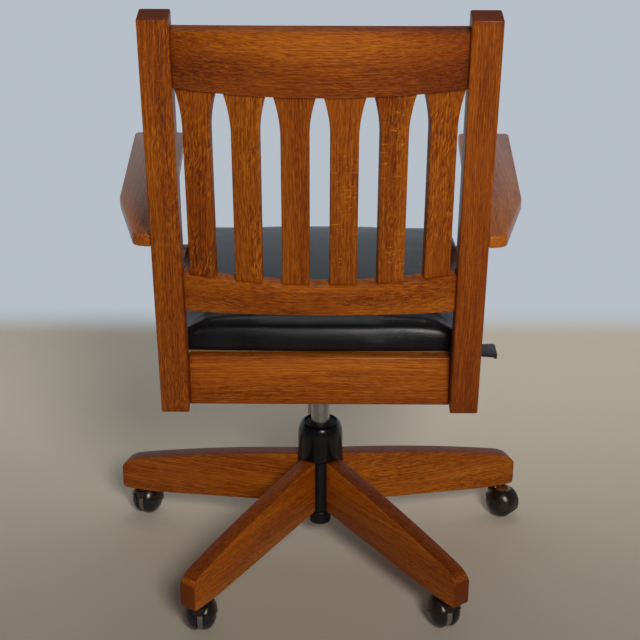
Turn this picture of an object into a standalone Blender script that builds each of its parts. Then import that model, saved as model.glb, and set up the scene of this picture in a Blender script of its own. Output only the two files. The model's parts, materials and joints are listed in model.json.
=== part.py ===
"""Slat-back oak desk chair with a leather seat, a gas lift, a tilt control and five ball casters.

Metres, +Z up. The sitter faces -Y, so the chair's back is at +Y and the sitter's left is +X.
Every piece is its own object. The sizes below are measured from the column's axis. The last step
moves the whole chair so that the origin is on the floor under the middle of its plan.
"""
import math

import bmesh
import bpy
from mathutils import Matrix, Vector

# Driving dimensions. Every other size below follows from these and from the clearances.
COLUMN_AHEAD = 0.013  # how far the column stands in front of the middle of the plan
FIT = 0.0003  # gap between pieces that touch
RUN = 0.0004  # gap round a shaft that turns or slides
EASE = 0.0018  # radius of the eased edges of the wood

# The back leans over the seat. Its own frame has x across, z up the posts and y to the rear.
LEAN = math.radians(9.4)
POST_FOOT = Vector((0.0, 0.261, 0.356))  # lower rear edge of the back posts
POST_WIDTH = 0.0368
POST_DEPTH = 0.035
POST_LENGTH = 0.547
BACK_WIDTH = 0.4180  # over the outer faces of the back posts
RAIL_BOW = 0.0282  # how far the curved rails bulge to the rear between the posts
RAIL_SET_IN = 0.0053  # rail's rear face, in from the post's rear face, at the post
CREST_LOW = 0.461
CREST_END_HEIGHT = 0.0694
CREST_CROWN = 0.0109
CREST_THICK = 0.020
LOWER_TOP = 0.2085
LOWER_END_HEIGHT = 0.052
LOWER_ARCH = 0.011
LOWER_THICK = 0.019
SLAT_COUNT = 6
SLAT_END_GAP = 0.0252  # from a post's inner face to the middle of the slat beside it
SLAT_WIDTH = 0.0338
SLAT_HEAD = 0.050
SLAT_FLARE = 0.050  # length of the flare under the crest rail
SLAT_THICK = 0.012
SLAT_SET_IN = 0.0035

# Seat frame.
FRAME_LOW = 0.3635
FRAME_HIGH = 0.4322
REAR_RAIL_FACE = 0.250
REAR_RAIL_THICK = 0.020
SIDE_RAIL_THICK = 0.022
FRONT_RAIL_THICK = 0.022
FRONT_POST = 0.038
FRONT_POST_OUTER = 0.2585
FRONT_POST_FRONT = -0.190
POST_DROP = 0.0075  # how far the posts hang below the seat rails
ARM_TOP = 0.618
ARM_THICK = 0.0155
ARM_FRONT = -0.169
ARM_REAR = 0.294
ARM_REAR_SLANT = 0.009  # how much further to the rear the arm's end reaches at its inner side
ARM_WIDEST = 0.145
ARM_OUTER_FRONT = 0.2835
ARM_OUTER_WIDEST = 0.2670
ARM_OUTER_REAR = 0.2315
ARM_INNER_FRONT = 0.2075
ARM_INNER_REAR = 0.187
ARM_CORNER = 0.009
BOARD_THICK = 0.012
CUSHION_TOP = 0.4825
CUSHION_REAR_HALF = 0.2000
CUSHION_FRONT_HALF = 0.2180
CUSHION_REAR = 0.241
CUSHION_FRONT = -0.186

# Tilt control under the seat.
TILT_RANGE = math.radians(12)
TILT_Y = -0.020
TILT_Z = 0.375
PLATE_THICK = 0.003
PLATE_HALF_WIDTH = 0.088
PLATE_FRONT = -0.118
PLATE_REAR = 0.092
HOUSING_HALF_WIDTH = 0.040
HOUSING_WALL = 0.003
HOUSING_FRONT = -0.060
HOUSING_REAR = 0.062
HOUSING_LOW = 0.292
HOUSING_HIGH = 0.387
HOUSING_REAR_HIGH = 0.352
EAR_HALF = 0.022
PIN_RADIUS = 0.005
TONGUE_HIGH = 0.3335
TONGUE_HALF_WIDTH = 0.022
BOLT_Y = -0.095
BOLT_RADIUS = 0.004
BOLT_HEAD_HEIGHT = 0.004
SPRING_LENGTH = 0.040
SPRING_TURNS = 5
SPRING_RADIUS = 0.0108
SPRING_WIRE = 0.0016
KNOB_RADIUS = 0.021
KNOB_HEIGHT = 0.034
KNOB_LOBES = 8
LEVER_Y = 0.018
LEVER_Z = 0.3405
LEVER_ROD = 0.0045
PADDLE_TIP = 0.2585
PADDLE_LENGTH = 0.068
PADDLE_REAR = 0.045
PADDLE_FRONT = 0.003
PADDLE_THICK = 0.005
PADDLE_LIP = 0.003

# Gas lift.
CYLINDER_RADIUS = 0.014
CYLINDER_TOP = 0.330
CYLINDER_LOW = 0.124
CYLINDER_BORE = 0.0112
VALVE_RADIUS = 0.003
VALVE_TOP = 0.3360
ROD_RADIUS = 0.004
ROD_TOP = 0.235
TUBE_RADIUS = 0.024
TUBE_WALL = 0.0033
TUBE_TOP = 0.2105
TUBE_FLOOR = 0.078
TUBE_SHOULDER = 0.0735
FOOT_RADIUS = 0.0165
FOOT_NECK = 0.0125
FOOT_LOW = 0.041
FOOT_HIGH = 0.063
BUSH_LENGTH = 0.052
BELL_RADIUS = 0.0335
BELL_HOLE = 0.0247
BELL_TOP = 0.2145
BELL_SHOULDER = 0.014
BELL_WALL = 0.0017

# Base and casters.
LEG_COUNT = 5
BASE_TURN = math.radians(1.8)  # how far the base stands turned under the seat
HUB_RADIUS = 0.0345
HUB_FLAT = 0.0305  # from the axis to the flat that a leg is bolted to
HUB_LOW = 0.0745
HUB_HIGH = 0.1570
LEG_THICK = 0.026
LEG_TIP = 0.327
LEG_LOW = 0.053
LEG_ROOT_LOW = 0.0745
LEG_FLAT_UNDER = 0.275  # radius where the level underside at the tip ends
LEG_ROOT_HIGH = 0.1582
LEG_CROWN = 0.0066  # height of the top curve's control point over its chord
LEG_NOSE = 0.0905
LEG_TOE = 0.008  # radius of the lower corner of the tip
LEG_SHOULDER = 0.296
LEG_SHOULDER_HIGH = 0.110
CASTER_RADIUS = 0.300  # of the circle that the caster stems stand on
CASTER_TRAIL = 0.016
WHEEL_RADIUS = 0.0245
WHEEL_WIDTH = 0.0175
WHEEL_TREAD = 0.0016
WHEEL_SEGMENTS = 20
WEB_THICK = 0.009
HOOD_WALL = 0.0009
HOOD_TILT = math.radians(22)
AXLE_RADIUS = 0.003
AXLE_COVER = 0.005  # of the wheel beyond the end of its bore
STEM_RADIUS = 0.0055
STEM_TOP = 0.086
COLLAR_HIGH = 0.050
SPIGOT_RADIUS = 0.0040
SPIGOT_LENGTH = 0.006
# The casters swivel freely, and each stands at its own angle from the rear, towards +X.
CASTER_ANGLES = [math.radians(a) for a in (180, -155, 180, -50, -199)]

WOOD = ((0.40, 0.13, 0.03), 0.38, 0.0)
LEATHER = ((0.012, 0.012, 0.014), 0.35, 0.0)
PLYWOOD = ((0.55, 0.38, 0.20), 0.6, 0.0)
BLACK_PAINT = ((0.02, 0.02, 0.02), 0.3, 0.6)
BLACK_PLASTIC = ((0.02, 0.02, 0.022), 0.3, 0.0)
STEEL = ((0.55, 0.56, 0.58), 0.3, 1.0)
CHROME = ((0.75, 0.75, 0.77), 0.12, 1.0)
BRONZE = ((0.09, 0.06, 0.045), 0.25, 0.9)


def start_clean():
    """Empties the scene and makes the two collections: the chair's pieces, and the cutters."""
    for item in list(bpy.data.objects):
        bpy.data.objects.remove(item, do_unlink=True)
    collections = []
    for name in ("desk_chair", "cutters"):
        made = bpy.data.collections.new(name)
        bpy.context.scene.collection.children.link(made)
        collections.append(made)
    return collections


PARTS, CUTTERS = start_clean()


def move_to(item, collection):
    for old in list(item.users_collection):
        old.objects.unlink(item)
    collection.objects.link(item)


def ride(item, parent):
    """Parents an object where it stands, so that it keeps its place in the world."""
    bpy.context.view_layer.update()
    item.parent = parent
    item.matrix_parent_inverse = parent.matrix_world.inverted()


def in_frame(item, frame):
    """Parents an object whose place was written in the frame's own axes."""
    item.parent = frame


def pivot(name, place, parent=None, turn=(0.0, 0.0, 0.0)):
    """An empty on a joint's axis, or at the origin of a leaning frame."""
    empty = bpy.data.objects.new(name, None)
    empty.location = place
    empty.rotation_euler = turn
    empty.empty_display_size = 0.03
    PARTS.objects.link(empty)
    bpy.context.view_layer.update()
    if parent:
        ride(empty, parent)
    return empty


def part(item, name, look):
    """Names an object as a part of the chair and gives it a material of its own."""
    colour, roughness, metallic = look
    material = bpy.data.materials.new(name)
    material.use_nodes = True
    shader = material.node_tree.nodes["Principled BSDF"]
    shader.inputs["Base Color"].default_value = (*colour, 1.0)
    shader.inputs["Roughness"].default_value = roughness
    shader.inputs["Metallic"].default_value = metallic
    item.name = name
    item.data.name = name
    item.data.materials.clear()
    item.data.materials.append(material)
    move_to(item, PARTS)
    return item


def tool(item, name):
    """Marks an object as a cutter, or as a shape that is joined into a part."""
    item.name = name
    item.hide_render = True
    item.display_type = "WIRE"
    move_to(item, CUTTERS)
    return item


def apply_scale(item):
    item.data.transform(Matrix.Diagonal((*item.scale, 1.0)))
    item.scale = (1.0, 1.0, 1.0)
    return item


def block(low, high, turn=(0.0, 0.0, 0.0)):
    """A box between two corners, turned about its own centre."""
    low, high = Vector(low), Vector(high)
    bpy.ops.mesh.primitive_cube_add(size=1.0, location=(low + high) / 2, rotation=turn)
    item = bpy.context.object
    item.scale = high - low
    return apply_scale(item)


def round_bar(radius, start, end, segments=24):
    """A cylinder between two points."""
    start, end = Vector(start), Vector(end)
    along = end - start
    bpy.ops.mesh.primitive_cylinder_add(
        vertices=segments, radius=radius, depth=along.length, location=(start + end) / 2
    )
    item = bpy.context.object
    item.rotation_euler = along.to_track_quat("Z", "Y").to_euler()
    smooth(item)
    return item


def smooth(item, angle=math.radians(35)):
    item.data.shade_smooth()
    item.data.set_sharp_from_angle(angle=angle)


def turned(profile, segments=24, place=(0, 0, 0), turn=(0, 0, 0), closed=False):
    """A turned piece: a profile of (radius, height) points, top to bottom on its outer side."""
    mesh = bpy.data.meshes.new("turned")
    points = [(radius, 0.0, height) for radius, height in profile]
    edges = [(i, i + 1) for i in range(len(points) - 1)]
    if closed:
        edges.append((len(points) - 1, 0))
    mesh.from_pydata(points, edges, [])
    item = bpy.data.objects.new("turned", mesh)
    bpy.context.scene.collection.objects.link(item)
    item.location = place
    item.rotation_euler = turn
    screw = item.modifiers.new("Screw", "SCREW")
    screw.axis = "Z"
    screw.steps = segments
    screw.render_steps = segments
    screw.use_merge_vertices = True
    screw.merge_threshold = 0.00001
    screw.use_smooth_shade = True
    return item


def board(outline, thickness, place=(0, 0, 0), turn=(0, 0, 0)):
    """A flat board: an outline filled as a 2D curve, made thick, then kept as a welded mesh."""
    curve = bpy.data.curves.new("board", "CURVE")
    curve.dimensions = "2D"
    curve.fill_mode = "BOTH"
    curve.extrude = thickness / 2
    spline = curve.splines.new("POLY")
    spline.points.add(len(outline) - 1)
    for point, (x, y) in zip(spline.points, outline):
        point.co = (x, y, 0.0, 1.0)
    spline.use_cyclic_u = True
    drawn = bpy.data.objects.new("board", curve)
    bpy.context.scene.collection.objects.link(drawn)
    bpy.context.view_layer.update()
    evaluated = drawn.evaluated_get(bpy.context.evaluated_depsgraph_get())
    mesh = bpy.data.meshes.new_from_object(evaluated)
    shape = bmesh.new()
    shape.from_mesh(mesh)
    bmesh.ops.remove_doubles(shape, verts=shape.verts, dist=0.000001)
    bmesh.ops.dissolve_limit(
        shape, angle_limit=0.001, verts=shape.verts, edges=shape.edges, delimit=set()
    )
    bmesh.ops.recalc_face_normals(shape, faces=shape.faces)
    shape.to_mesh(mesh)
    shape.free()
    bpy.data.objects.remove(drawn, do_unlink=True)
    item = bpy.data.objects.new("board", mesh)
    bpy.context.scene.collection.objects.link(item)
    item.location = place
    item.rotation_euler = turn
    return item


def ease(item, width=EASE, segments=1, angle=math.radians(38)):
    """Rounds the edges of a piece of wood or a moulding."""
    bevel = item.modifiers.new("Ease", "BEVEL")
    bevel.width = width
    bevel.segments = segments
    bevel.limit_method = "ANGLE"
    bevel.angle_limit = angle
    return item


def combine(item, other, operation):
    step = item.modifiers.new(operation.title(), "BOOLEAN")
    step.operation = operation
    step.solver = "EXACT"
    step.object = other
    return item


def cut(item, cutter):
    return combine(item, cutter, "DIFFERENCE")


def join(item, other):
    return combine(item, other, "UNION")


def rounded(points, radius, steps=3):
    """An outline with each corner replaced by a short arc-like curve."""
    outline = []
    count = len(points)
    for i, corner in enumerate(points):
        corner = Vector(corner)
        before = (Vector(points[i - 1]) - corner).normalized()
        after = (Vector(points[(i + 1) % count]) - corner).normalized()
        start, end = corner + before * radius, corner + after * radius
        for step in range(steps + 1):
            t = step / steps
            spot = start * (1 - t) ** 2 + corner * 2 * t * (1 - t) + end * t**2
            outline.append(tuple(spot))
    return outline


def mirrored(points, side):
    """An outline drawn for the +X side, turned over for the other side where side is -1."""
    return [(x * side, y) for x, y in points]


# Joints: one empty on each axis.
swivel_axis = pivot("seat_swivel_axis", (0, 0, TUBE_FLOOR))
lift_axis = pivot("seat_height_axis", (0, 0, CYLINDER_LOW), swivel_axis)
tilt_axis = pivot("seat_tilt_axis", (0, TILT_Y, TILT_Z), lift_axis)
back_frame = pivot("back_frame", POST_FOOT, tilt_axis, (-LEAN, 0, 0))

POST_INNER = BACK_WIDTH / 2 - POST_WIDTH
SIDES = (("left", 1), ("right", -1))


def back_posts():
    """The two leaning posts, and a copy of each, grown by the fit, that cuts what meets it."""
    seats = {}
    for name, side in SIDES:
        inner, outer = side * POST_INNER, side * BACK_WIDTH / 2
        low = (min(inner, outer), -POST_DEPTH, 0.0)
        high = (max(inner, outer), 0.0, POST_LENGTH)
        post = ease(block(low, high), EASE, 2)
        in_frame(part(post, f"{name}_back_post", WOOD), back_frame)
        grown = Vector((FIT, FIT, FIT))
        seat = tool(block(Vector(low) - grown, Vector(high) + grown), f"{name}_post_seat")
        in_frame(seat, back_frame)
        seats[name] = seat
    return seats


post_seats = back_posts()

# The curved rails are parts of one cylinder, upright in the back's frame.
BOW_RADIUS = (POST_INNER**2 + RAIL_BOW**2) / (2 * RAIL_BOW)
BOW_CENTRE = -RAIL_SET_IN + RAIL_BOW - BOW_RADIUS


def rail_rear(x):
    """How far to the rear the curved rails' rear faces lie at x, in the back's frame."""
    return BOW_CENTRE + math.sqrt(BOW_RADIUS**2 - x**2)


def bowed_rail(name, low, high, thickness):
    """A curved rail: a flat grid bent to the bow, given its thickness, coped to both posts."""
    overhang = 0.010
    half = POST_INNER + overhang
    columns = 16
    bpy.ops.mesh.primitive_grid_add(x_subdivisions=columns, y_subdivisions=2, size=2.0)
    rail = bpy.context.object
    for vertex in rail.data.vertices:
        x = vertex.co.x * half
        t = (vertex.co.y + 1) / 2
        vertex.co = (x, rail_rear(x), low(x) * (1 - t) + high(x) * t)
    shape = bmesh.new()
    shape.from_mesh(rail.data)
    bmesh.ops.recalc_face_normals(shape, faces=shape.faces)
    shape.faces.ensure_lookup_table()
    if shape.faces[0].normal.y < 0:
        bmesh.ops.reverse_faces(shape, faces=shape.faces)
    shape.to_mesh(rail.data)
    shape.free()
    wall = rail.modifiers.new("Thickness", "SOLIDIFY")
    wall.thickness = thickness
    wall.offset = -1.0
    wall.use_even_offset = True
    ease(rail, EASE, 2)
    in_frame(part(rail, name, WOOD), back_frame)
    for seat in post_seats.values():
        cut(rail, seat)


def crown(x, ends, middle):
    """A height that runs from ends at the posts to middle at the centre, in one sweep."""
    return middle + (ends - middle) * (x / POST_INNER) ** 2


bowed_rail(
    "crest_rail",
    lambda x: CREST_LOW,
    lambda x: CREST_LOW + crown(x, CREST_END_HEIGHT, CREST_END_HEIGHT + CREST_CROWN),
    CREST_THICK,
)
bowed_rail(
    "lower_back_rail",
    lambda x: LOWER_TOP - crown(x, LOWER_END_HEIGHT, LOWER_END_HEIGHT - LOWER_ARCH),
    lambda x: LOWER_TOP,
    LOWER_THICK,
)


def back_slats():
    """Slats that flare under the crest rail, each turned to face along the rails' bow."""
    low = LOWER_TOP + FIT
    high = CREST_LOW - FIT
    steps = 6
    flare = []
    for step in range(steps + 1):
        t = step / steps
        half = SLAT_WIDTH / 2 + (SLAT_HEAD - SLAT_WIDTH) / 2 * t**1.8
        flare.append((half, high - SLAT_FLARE * (1 - t)))
    side = [(SLAT_WIDTH / 2, low), *flare]
    outline = side + [(-x, z) for x, z in reversed(side)]
    rear_radius = BOW_RADIUS - SLAT_SET_IN
    end_slat = POST_INNER - SLAT_END_GAP
    for number in range(SLAT_COUNT):
        x = end_slat * (2 * number / (SLAT_COUNT - 1) - 1)
        angle = math.asin(x / rear_radius)
        middle = rear_radius - SLAT_THICK / 2
        place = (middle * math.sin(angle), BOW_CENTRE + middle * math.cos(angle), 0.0)
        slat = board(outline, SLAT_THICK, place, (math.pi / 2, 0, -angle))
        ease(slat, 0.0014)
        in_frame(part(slat, f"back_slat_{number + 1}", WOOD), back_frame)


back_slats()


def seat_frame():
    """Four straight rails between the posts, and the posts under the arms."""
    rear = block(
        (-POST_INNER + FIT, REAR_RAIL_FACE - REAR_RAIL_THICK, FRAME_LOW),
        (POST_INNER - FIT, REAR_RAIL_FACE, FRAME_HIGH),
    )
    ride(part(ease(rear), "rear_seat_rail", WOOD), tilt_axis)
    front_inner = FRONT_POST_OUTER - FRONT_POST
    rail_front = FRONT_POST_FRONT + (FRONT_POST - FRONT_RAIL_THICK) / 2
    front = block(
        (-front_inner + FIT, rail_front, FRAME_LOW),
        (front_inner - FIT, rail_front + FRONT_RAIL_THICK, FRAME_HIGH),
    )
    ride(part(ease(front), "front_seat_rail", WOOD), tilt_axis)
    for name, side in SIDES:
        middle = FRONT_POST_OUTER - FRONT_POST / 2
        low = Vector((side * middle - FRONT_POST / 2, FRONT_POST_FRONT, FRAME_LOW - POST_DROP))
        high = Vector((side * middle + FRONT_POST / 2, FRONT_POST_FRONT + FRONT_POST, 0.0))
        high.z = ARM_TOP - ARM_THICK - FIT
        post = ease(block(low, high), EASE, 2)
        ride(part(post, f"{name}_arm_post", WOOD), tilt_axis)
        grown = Vector((FIT, FIT, FIT))
        seat = tool(block(low - grown, high + grown), f"{name}_arm_post_seat")
        ride(seat, tilt_axis)
        start = Vector(SIDE_RAIL_REAR)
        end = Vector(SIDE_RAIL_FRONT)
        across = (start - end).orthogonal().normalized() * SIDE_RAIL_THICK / 2
        outline = [start + across, start - across, end - across, end + across]
        middle_z = (FRAME_LOW + FRAME_HIGH) / 2
        height = FRAME_HIGH - FRAME_LOW
        rail = board(mirrored(outline, side), height, (0, 0, middle_z))
        ride(part(ease(rail), f"{name}_seat_rail", WOOD), tilt_axis)
        cut(rail, post_seats[name])
        cut(rail, seat)


# The side rails' centre lines end inside the posts, whose seats then cut them to length.
SIDE_RAIL_REAR = (BACK_WIDTH / 2 - POST_WIDTH / 2, REAR_RAIL_FACE)
SIDE_RAIL_FRONT = (FRONT_POST_OUTER - FRONT_POST / 2, FRONT_POST_FRONT + FRONT_POST / 2)
seat_frame()


def armrests():
    """Flat arms that splay forwards and are notched round the back posts."""
    outline = [
        (ARM_INNER_FRONT, ARM_FRONT),
        (ARM_OUTER_FRONT, ARM_FRONT),
        (ARM_OUTER_WIDEST, ARM_WIDEST),
        (ARM_OUTER_REAR, ARM_REAR),
        (ARM_INNER_REAR, ARM_REAR + ARM_REAR_SLANT),
    ]
    for name, side in SIDES:
        place = (0, 0, ARM_TOP - ARM_THICK / 2)
        arm = board(mirrored(rounded(outline, ARM_CORNER), side), ARM_THICK, place)
        ride(part(ease(arm, 0.0022, 2), f"{name}_armrest", WOOD), tilt_axis)
        cut(arm, post_seats[name])


armrests()


def seat_board():
    """The plywood panel that fills the seat frame and carries the cushion and the tilt plate."""
    high = FRAME_HIGH - FIT
    rear = REAR_RAIL_FACE - REAR_RAIL_THICK - FIT
    front = FRONT_POST_FRONT + (FRONT_POST + FRONT_RAIL_THICK) / 2 + FIT
    slope = (SIDE_RAIL_FRONT[0] - SIDE_RAIL_REAR[0]) / (SIDE_RAIL_FRONT[1] - SIDE_RAIL_REAR[1])
    half_rail = SIDE_RAIL_THICK / 2 * math.sqrt(1 + slope**2) + FIT
    rear_half = SIDE_RAIL_REAR[0] + slope * (rear - SIDE_RAIL_REAR[1]) - half_rail
    front_half = FRONT_POST_OUTER - FRONT_POST - FIT
    outline = [(-front_half, front), (front_half, front), (rear_half, rear), (-rear_half, rear)]
    panel = board(outline, BOARD_THICK, (0, 0, high - BOARD_THICK / 2))
    ride(part(panel, "seat_board", PLYWOOD), tilt_axis)
    pocket = round_bar(0.009, (0, BOLT_Y, high - 0.03), (0, BOLT_Y, high + 0.01))
    cut(panel, ride_tool(pocket, "bolt_head_pocket", tilt_axis))
    return high - BOARD_THICK


def ride_tool(item, name, parent):
    """A cutter or joined shape that stays with the pieces of one body."""
    tool(item, name)
    ride(item, parent)
    return item


BOARD_LOW = seat_board()


def seat_cushion():
    """The leather seat: a crowned pad whose sides draw in and whose corners are rounded."""
    low = FRAME_HIGH + FIT
    wall = 0.028  # height of the side before the crown begins
    bpy.ops.mesh.primitive_cube_add(size=2.0)
    cushion = bpy.context.object
    shape = bmesh.new()
    shape.from_mesh(cushion.data)
    bmesh.ops.subdivide_edges(shape, edges=shape.edges, cuts=6, use_grid_fill=True)
    for vertex in shape.verts:
        a, b, c = vertex.co
        # The rows crowd towards the edges, which keeps the pad's roll tight.
        a = math.copysign(1 - (1 - abs(a)) ** 2, a)
        b = math.copysign(1 - (1 - abs(b)) ** 2, b)
        # Square to rounded square, so that the corners of the plan are curves.
        x = a * math.sqrt(1 - 0.06 * b * b * abs(a) ** 3)
        y = b * math.sqrt(1 - 0.06 * a * a * abs(b) ** 3)
        half = CUSHION_REAR_HALF + (CUSHION_FRONT_HALF - CUSHION_REAR_HALF) * (1 - y) / 2
        middle = (CUSHION_REAR + CUSHION_FRONT) / 2
        length = (CUSHION_REAR - CUSHION_FRONT) / 2
        rise = (1 - x * x) * (1 - y * y)
        top = low + wall + (CUSHION_TOP - low - wall) * max(rise, 0.0) ** 0.42
        height = low + (top - low) * (c + 1) / 2
        # The welt at mid height stands proud, and the sides draw in above and below it.
        tuck = 1.0 - 0.022 * (abs(c + 0.25) ** 2)
        vertex.co = (x * half * tuck, middle + y * length * tuck, height)
    bmesh.ops.recalc_face_normals(shape, faces=shape.faces)
    shape.to_mesh(cushion.data)
    shape.free()
    fine = cushion.modifiers.new("Smooth", "SUBSURF")
    fine.levels = 1
    fine.render_levels = 1
    ride(part(cushion, "seat_cushion", LEATHER), tilt_axis)


seat_cushion()


def tilt_plate():
    """The pressed plate under the seat board, with two ears that hang on the tilt pin."""
    high = BOARD_LOW - FIT
    waist = 0.030
    outline = [
        (-PLATE_HALF_WIDTH, PLATE_FRONT),
        (-waist, PLATE_FRONT + 0.012),
        (waist, PLATE_FRONT + 0.012),
        (PLATE_HALF_WIDTH, PLATE_FRONT),
        (PLATE_HALF_WIDTH - 0.030, (PLATE_FRONT + PLATE_REAR) / 2),
        (PLATE_HALF_WIDTH, PLATE_REAR),
        (waist, PLATE_REAR - 0.012),
        (-waist, PLATE_REAR - 0.012),
        (-PLATE_HALF_WIDTH, PLATE_REAR),
        (-PLATE_HALF_WIDTH + 0.030, (PLATE_FRONT + PLATE_REAR) / 2),
    ]
    place = (0, 0, high - PLATE_THICK / 2)
    plate = board(rounded(outline, 0.008, 2), PLATE_THICK, place)
    ride(part(plate, "tilt_plate", BLACK_PAINT), tilt_axis)
    inner = HOUSING_HALF_WIDTH + FIT
    for name, side in SIDES:
        ear_outline = [
            (TILT_Y - EAR_HALF, high - PLATE_THICK / 2),
            (TILT_Y - EAR_HALF * 0.6, TILT_Z - 0.008),
            (TILT_Y - EAR_HALF * 0.3, TILT_Z - 0.013),
            (TILT_Y + EAR_HALF * 0.3, TILT_Z - 0.013),
            (TILT_Y + EAR_HALF * 0.6, TILT_Z - 0.008),
            (TILT_Y + EAR_HALF, high - PLATE_THICK / 2),
        ]
        # Drawn in X and Y, then stood up so that X runs along the chair's Y.
        place = (side * (inner + PLATE_THICK / 2), 0, 0)
        ear = board(ear_outline, PLATE_THICK, place, (math.pi / 2, 0, math.pi / 2))
        join(plate, ride_tool(ear, f"{name}_ear", tilt_axis))
    reach = HOUSING_HALF_WIDTH + 0.02
    hole = round_bar(PIN_RADIUS + RUN, (-reach, TILT_Y, TILT_Z), (reach, TILT_Y, TILT_Z))
    cut(plate, ride_tool(hole, "plate_pin_hole", tilt_axis))
    hole = round_bar(BOLT_RADIUS + RUN, (0, BOLT_Y, high - 0.02), (0, BOLT_Y, high + 0.02))
    cut(plate, ride_tool(hole, "plate_bolt_hole", tilt_axis))


tilt_plate()


def tilt_housing():
    """The pressed tray on top of the gas cylinder: socket, pin holes and the spring's tongue."""
    wide, wall = HOUSING_HALF_WIDTH, HOUSING_WALL
    housing = block(
        (-wide, HOUSING_FRONT, HOUSING_LOW), (wide, HOUSING_REAR, HOUSING_HIGH)
    )
    ride(part(housing, "tilt_housing", BLACK_PAINT), lift_axis)
    inside = block(
        (-wide + wall, HOUSING_FRONT + wall, HOUSING_LOW + wall),
        (wide - wall, HOUSING_REAR - wall, HOUSING_HIGH + 0.02),
    )
    cut(housing, ride_tool(inside, "housing_inside", lift_axis))
    crest = TILT_Y + 0.014
    slope = [
        (crest, HOUSING_HIGH),
        (HOUSING_REAR + 0.01, HOUSING_REAR_HIGH),
        (HOUSING_REAR + 0.01, HOUSING_HIGH + 0.02),
        (crest, HOUSING_HIGH + 0.02),
    ]
    top = board(slope, 2 * wide + 0.02, (0, 0, 0), (math.pi / 2, 0, math.pi / 2))
    cut(housing, ride_tool(top, "housing_slope", lift_axis))
    socket_top = CYLINDER_TOP - 0.0005
    socket = round_bar(CYLINDER_RADIUS + 0.007, (0, 0, HOUSING_LOW + 0.0006), (0, 0, socket_top), 32)
    join(housing, ride_tool(socket, "cylinder_socket", lift_axis))
    tongue = block(
        (-TONGUE_HALF_WIDTH, BOLT_Y - 0.024, TONGUE_HIGH - wall),
        (TONGUE_HALF_WIDTH, HOUSING_FRONT + wall / 2, TONGUE_HIGH),
    )
    join(housing, ride_tool(tongue, "spring_tongue", lift_axis))
    low, high = (0, 0, HOUSING_LOW - 0.02), (0, 0, CYLINDER_TOP + 0.02)
    bore = round_bar(CYLINDER_RADIUS + FIT, low, high, 32)
    cut(housing, ride_tool(bore, "cylinder_bore", lift_axis))
    reach = wide + 0.02
    hole = round_bar(PIN_RADIUS + FIT, (-reach, TILT_Y, TILT_Z), (reach, TILT_Y, TILT_Z))
    cut(housing, ride_tool(hole, "housing_pin_hole", lift_axis))
    hole = round_bar(LEVER_ROD + RUN, (-reach, LEVER_Y, LEVER_Z), (reach, LEVER_Y, LEVER_Z))
    cut(housing, ride_tool(hole, "lever_rod_hole", lift_axis))
    # The bolt leans with the seat, so its hole in the tongue is a slot.
    drop = TILT_Z - TONGUE_HIGH
    swing = drop * math.tan(TILT_RANGE) + (TILT_Y - BOLT_Y) * (1 / math.cos(TILT_RANGE) - 1)
    half = BOLT_RADIUS + RUN
    slot = block(
        (-half, BOLT_Y - half - swing - 0.002, TONGUE_HIGH - 0.02),
        (half, BOLT_Y + half + 0.001, TONGUE_HIGH + 0.02),
    )
    cut(housing, ride_tool(slot, "bolt_slot", lift_axis))
    pin = round_bar(
        PIN_RADIUS,
        (-wide - PLATE_THICK - 0.003, TILT_Y, TILT_Z),
        (wide + PLATE_THICK + 0.003, TILT_Y, TILT_Z),
    )
    ride(part(pin, "tilt_pin", STEEL), lift_axis)


tilt_housing()


def tilt_spring():
    """The coil spring round the tension bolt, and its least gap to itself, which is printed."""
    top = TONGUE_HIGH - HOUSING_WALL - FIT - SPRING_WIRE
    length = SPRING_LENGTH - 2 * (FIT + SPRING_WIRE)
    per_turn = 9
    points = []
    for step in range(SPRING_TURNS * per_turn + 1):
        angle = 2 * math.pi * step / per_turn
        t = step / (SPRING_TURNS * per_turn)
        spot = (SPRING_RADIUS * math.cos(angle), SPRING_RADIUS * math.sin(angle), top - length * t)
        points.append(Vector(spot) + Vector((0, BOLT_Y, 0)))
    curve = bpy.data.curves.new("tilt_spring", "CURVE")
    curve.dimensions = "3D"
    curve.bevel_depth = SPRING_WIRE
    curve.bevel_resolution = 1
    curve.use_fill_caps = True
    spline = curve.splines.new("POLY")
    spline.points.add(len(points) - 1)
    for point, spot in zip(spline.points, points):
        point.co = (*spot, 1.0)
    spring = bpy.data.objects.new("tilt_spring", curve)
    bpy.context.scene.collection.objects.link(spring)
    ride(part(spring, "tilt_spring", STEEL), lift_axis)
    far = per_turn // 2
    gaps = [
        (points[i] - points[j]).length
        for i in range(len(points))
        for j in range(i + far + 1, len(points))
    ]
    least = min(gaps) - 2 * SPRING_WIRE
    print(f"tilt_spring least gap to itself {least * 1000:.2f} mm")


tilt_spring()


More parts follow.
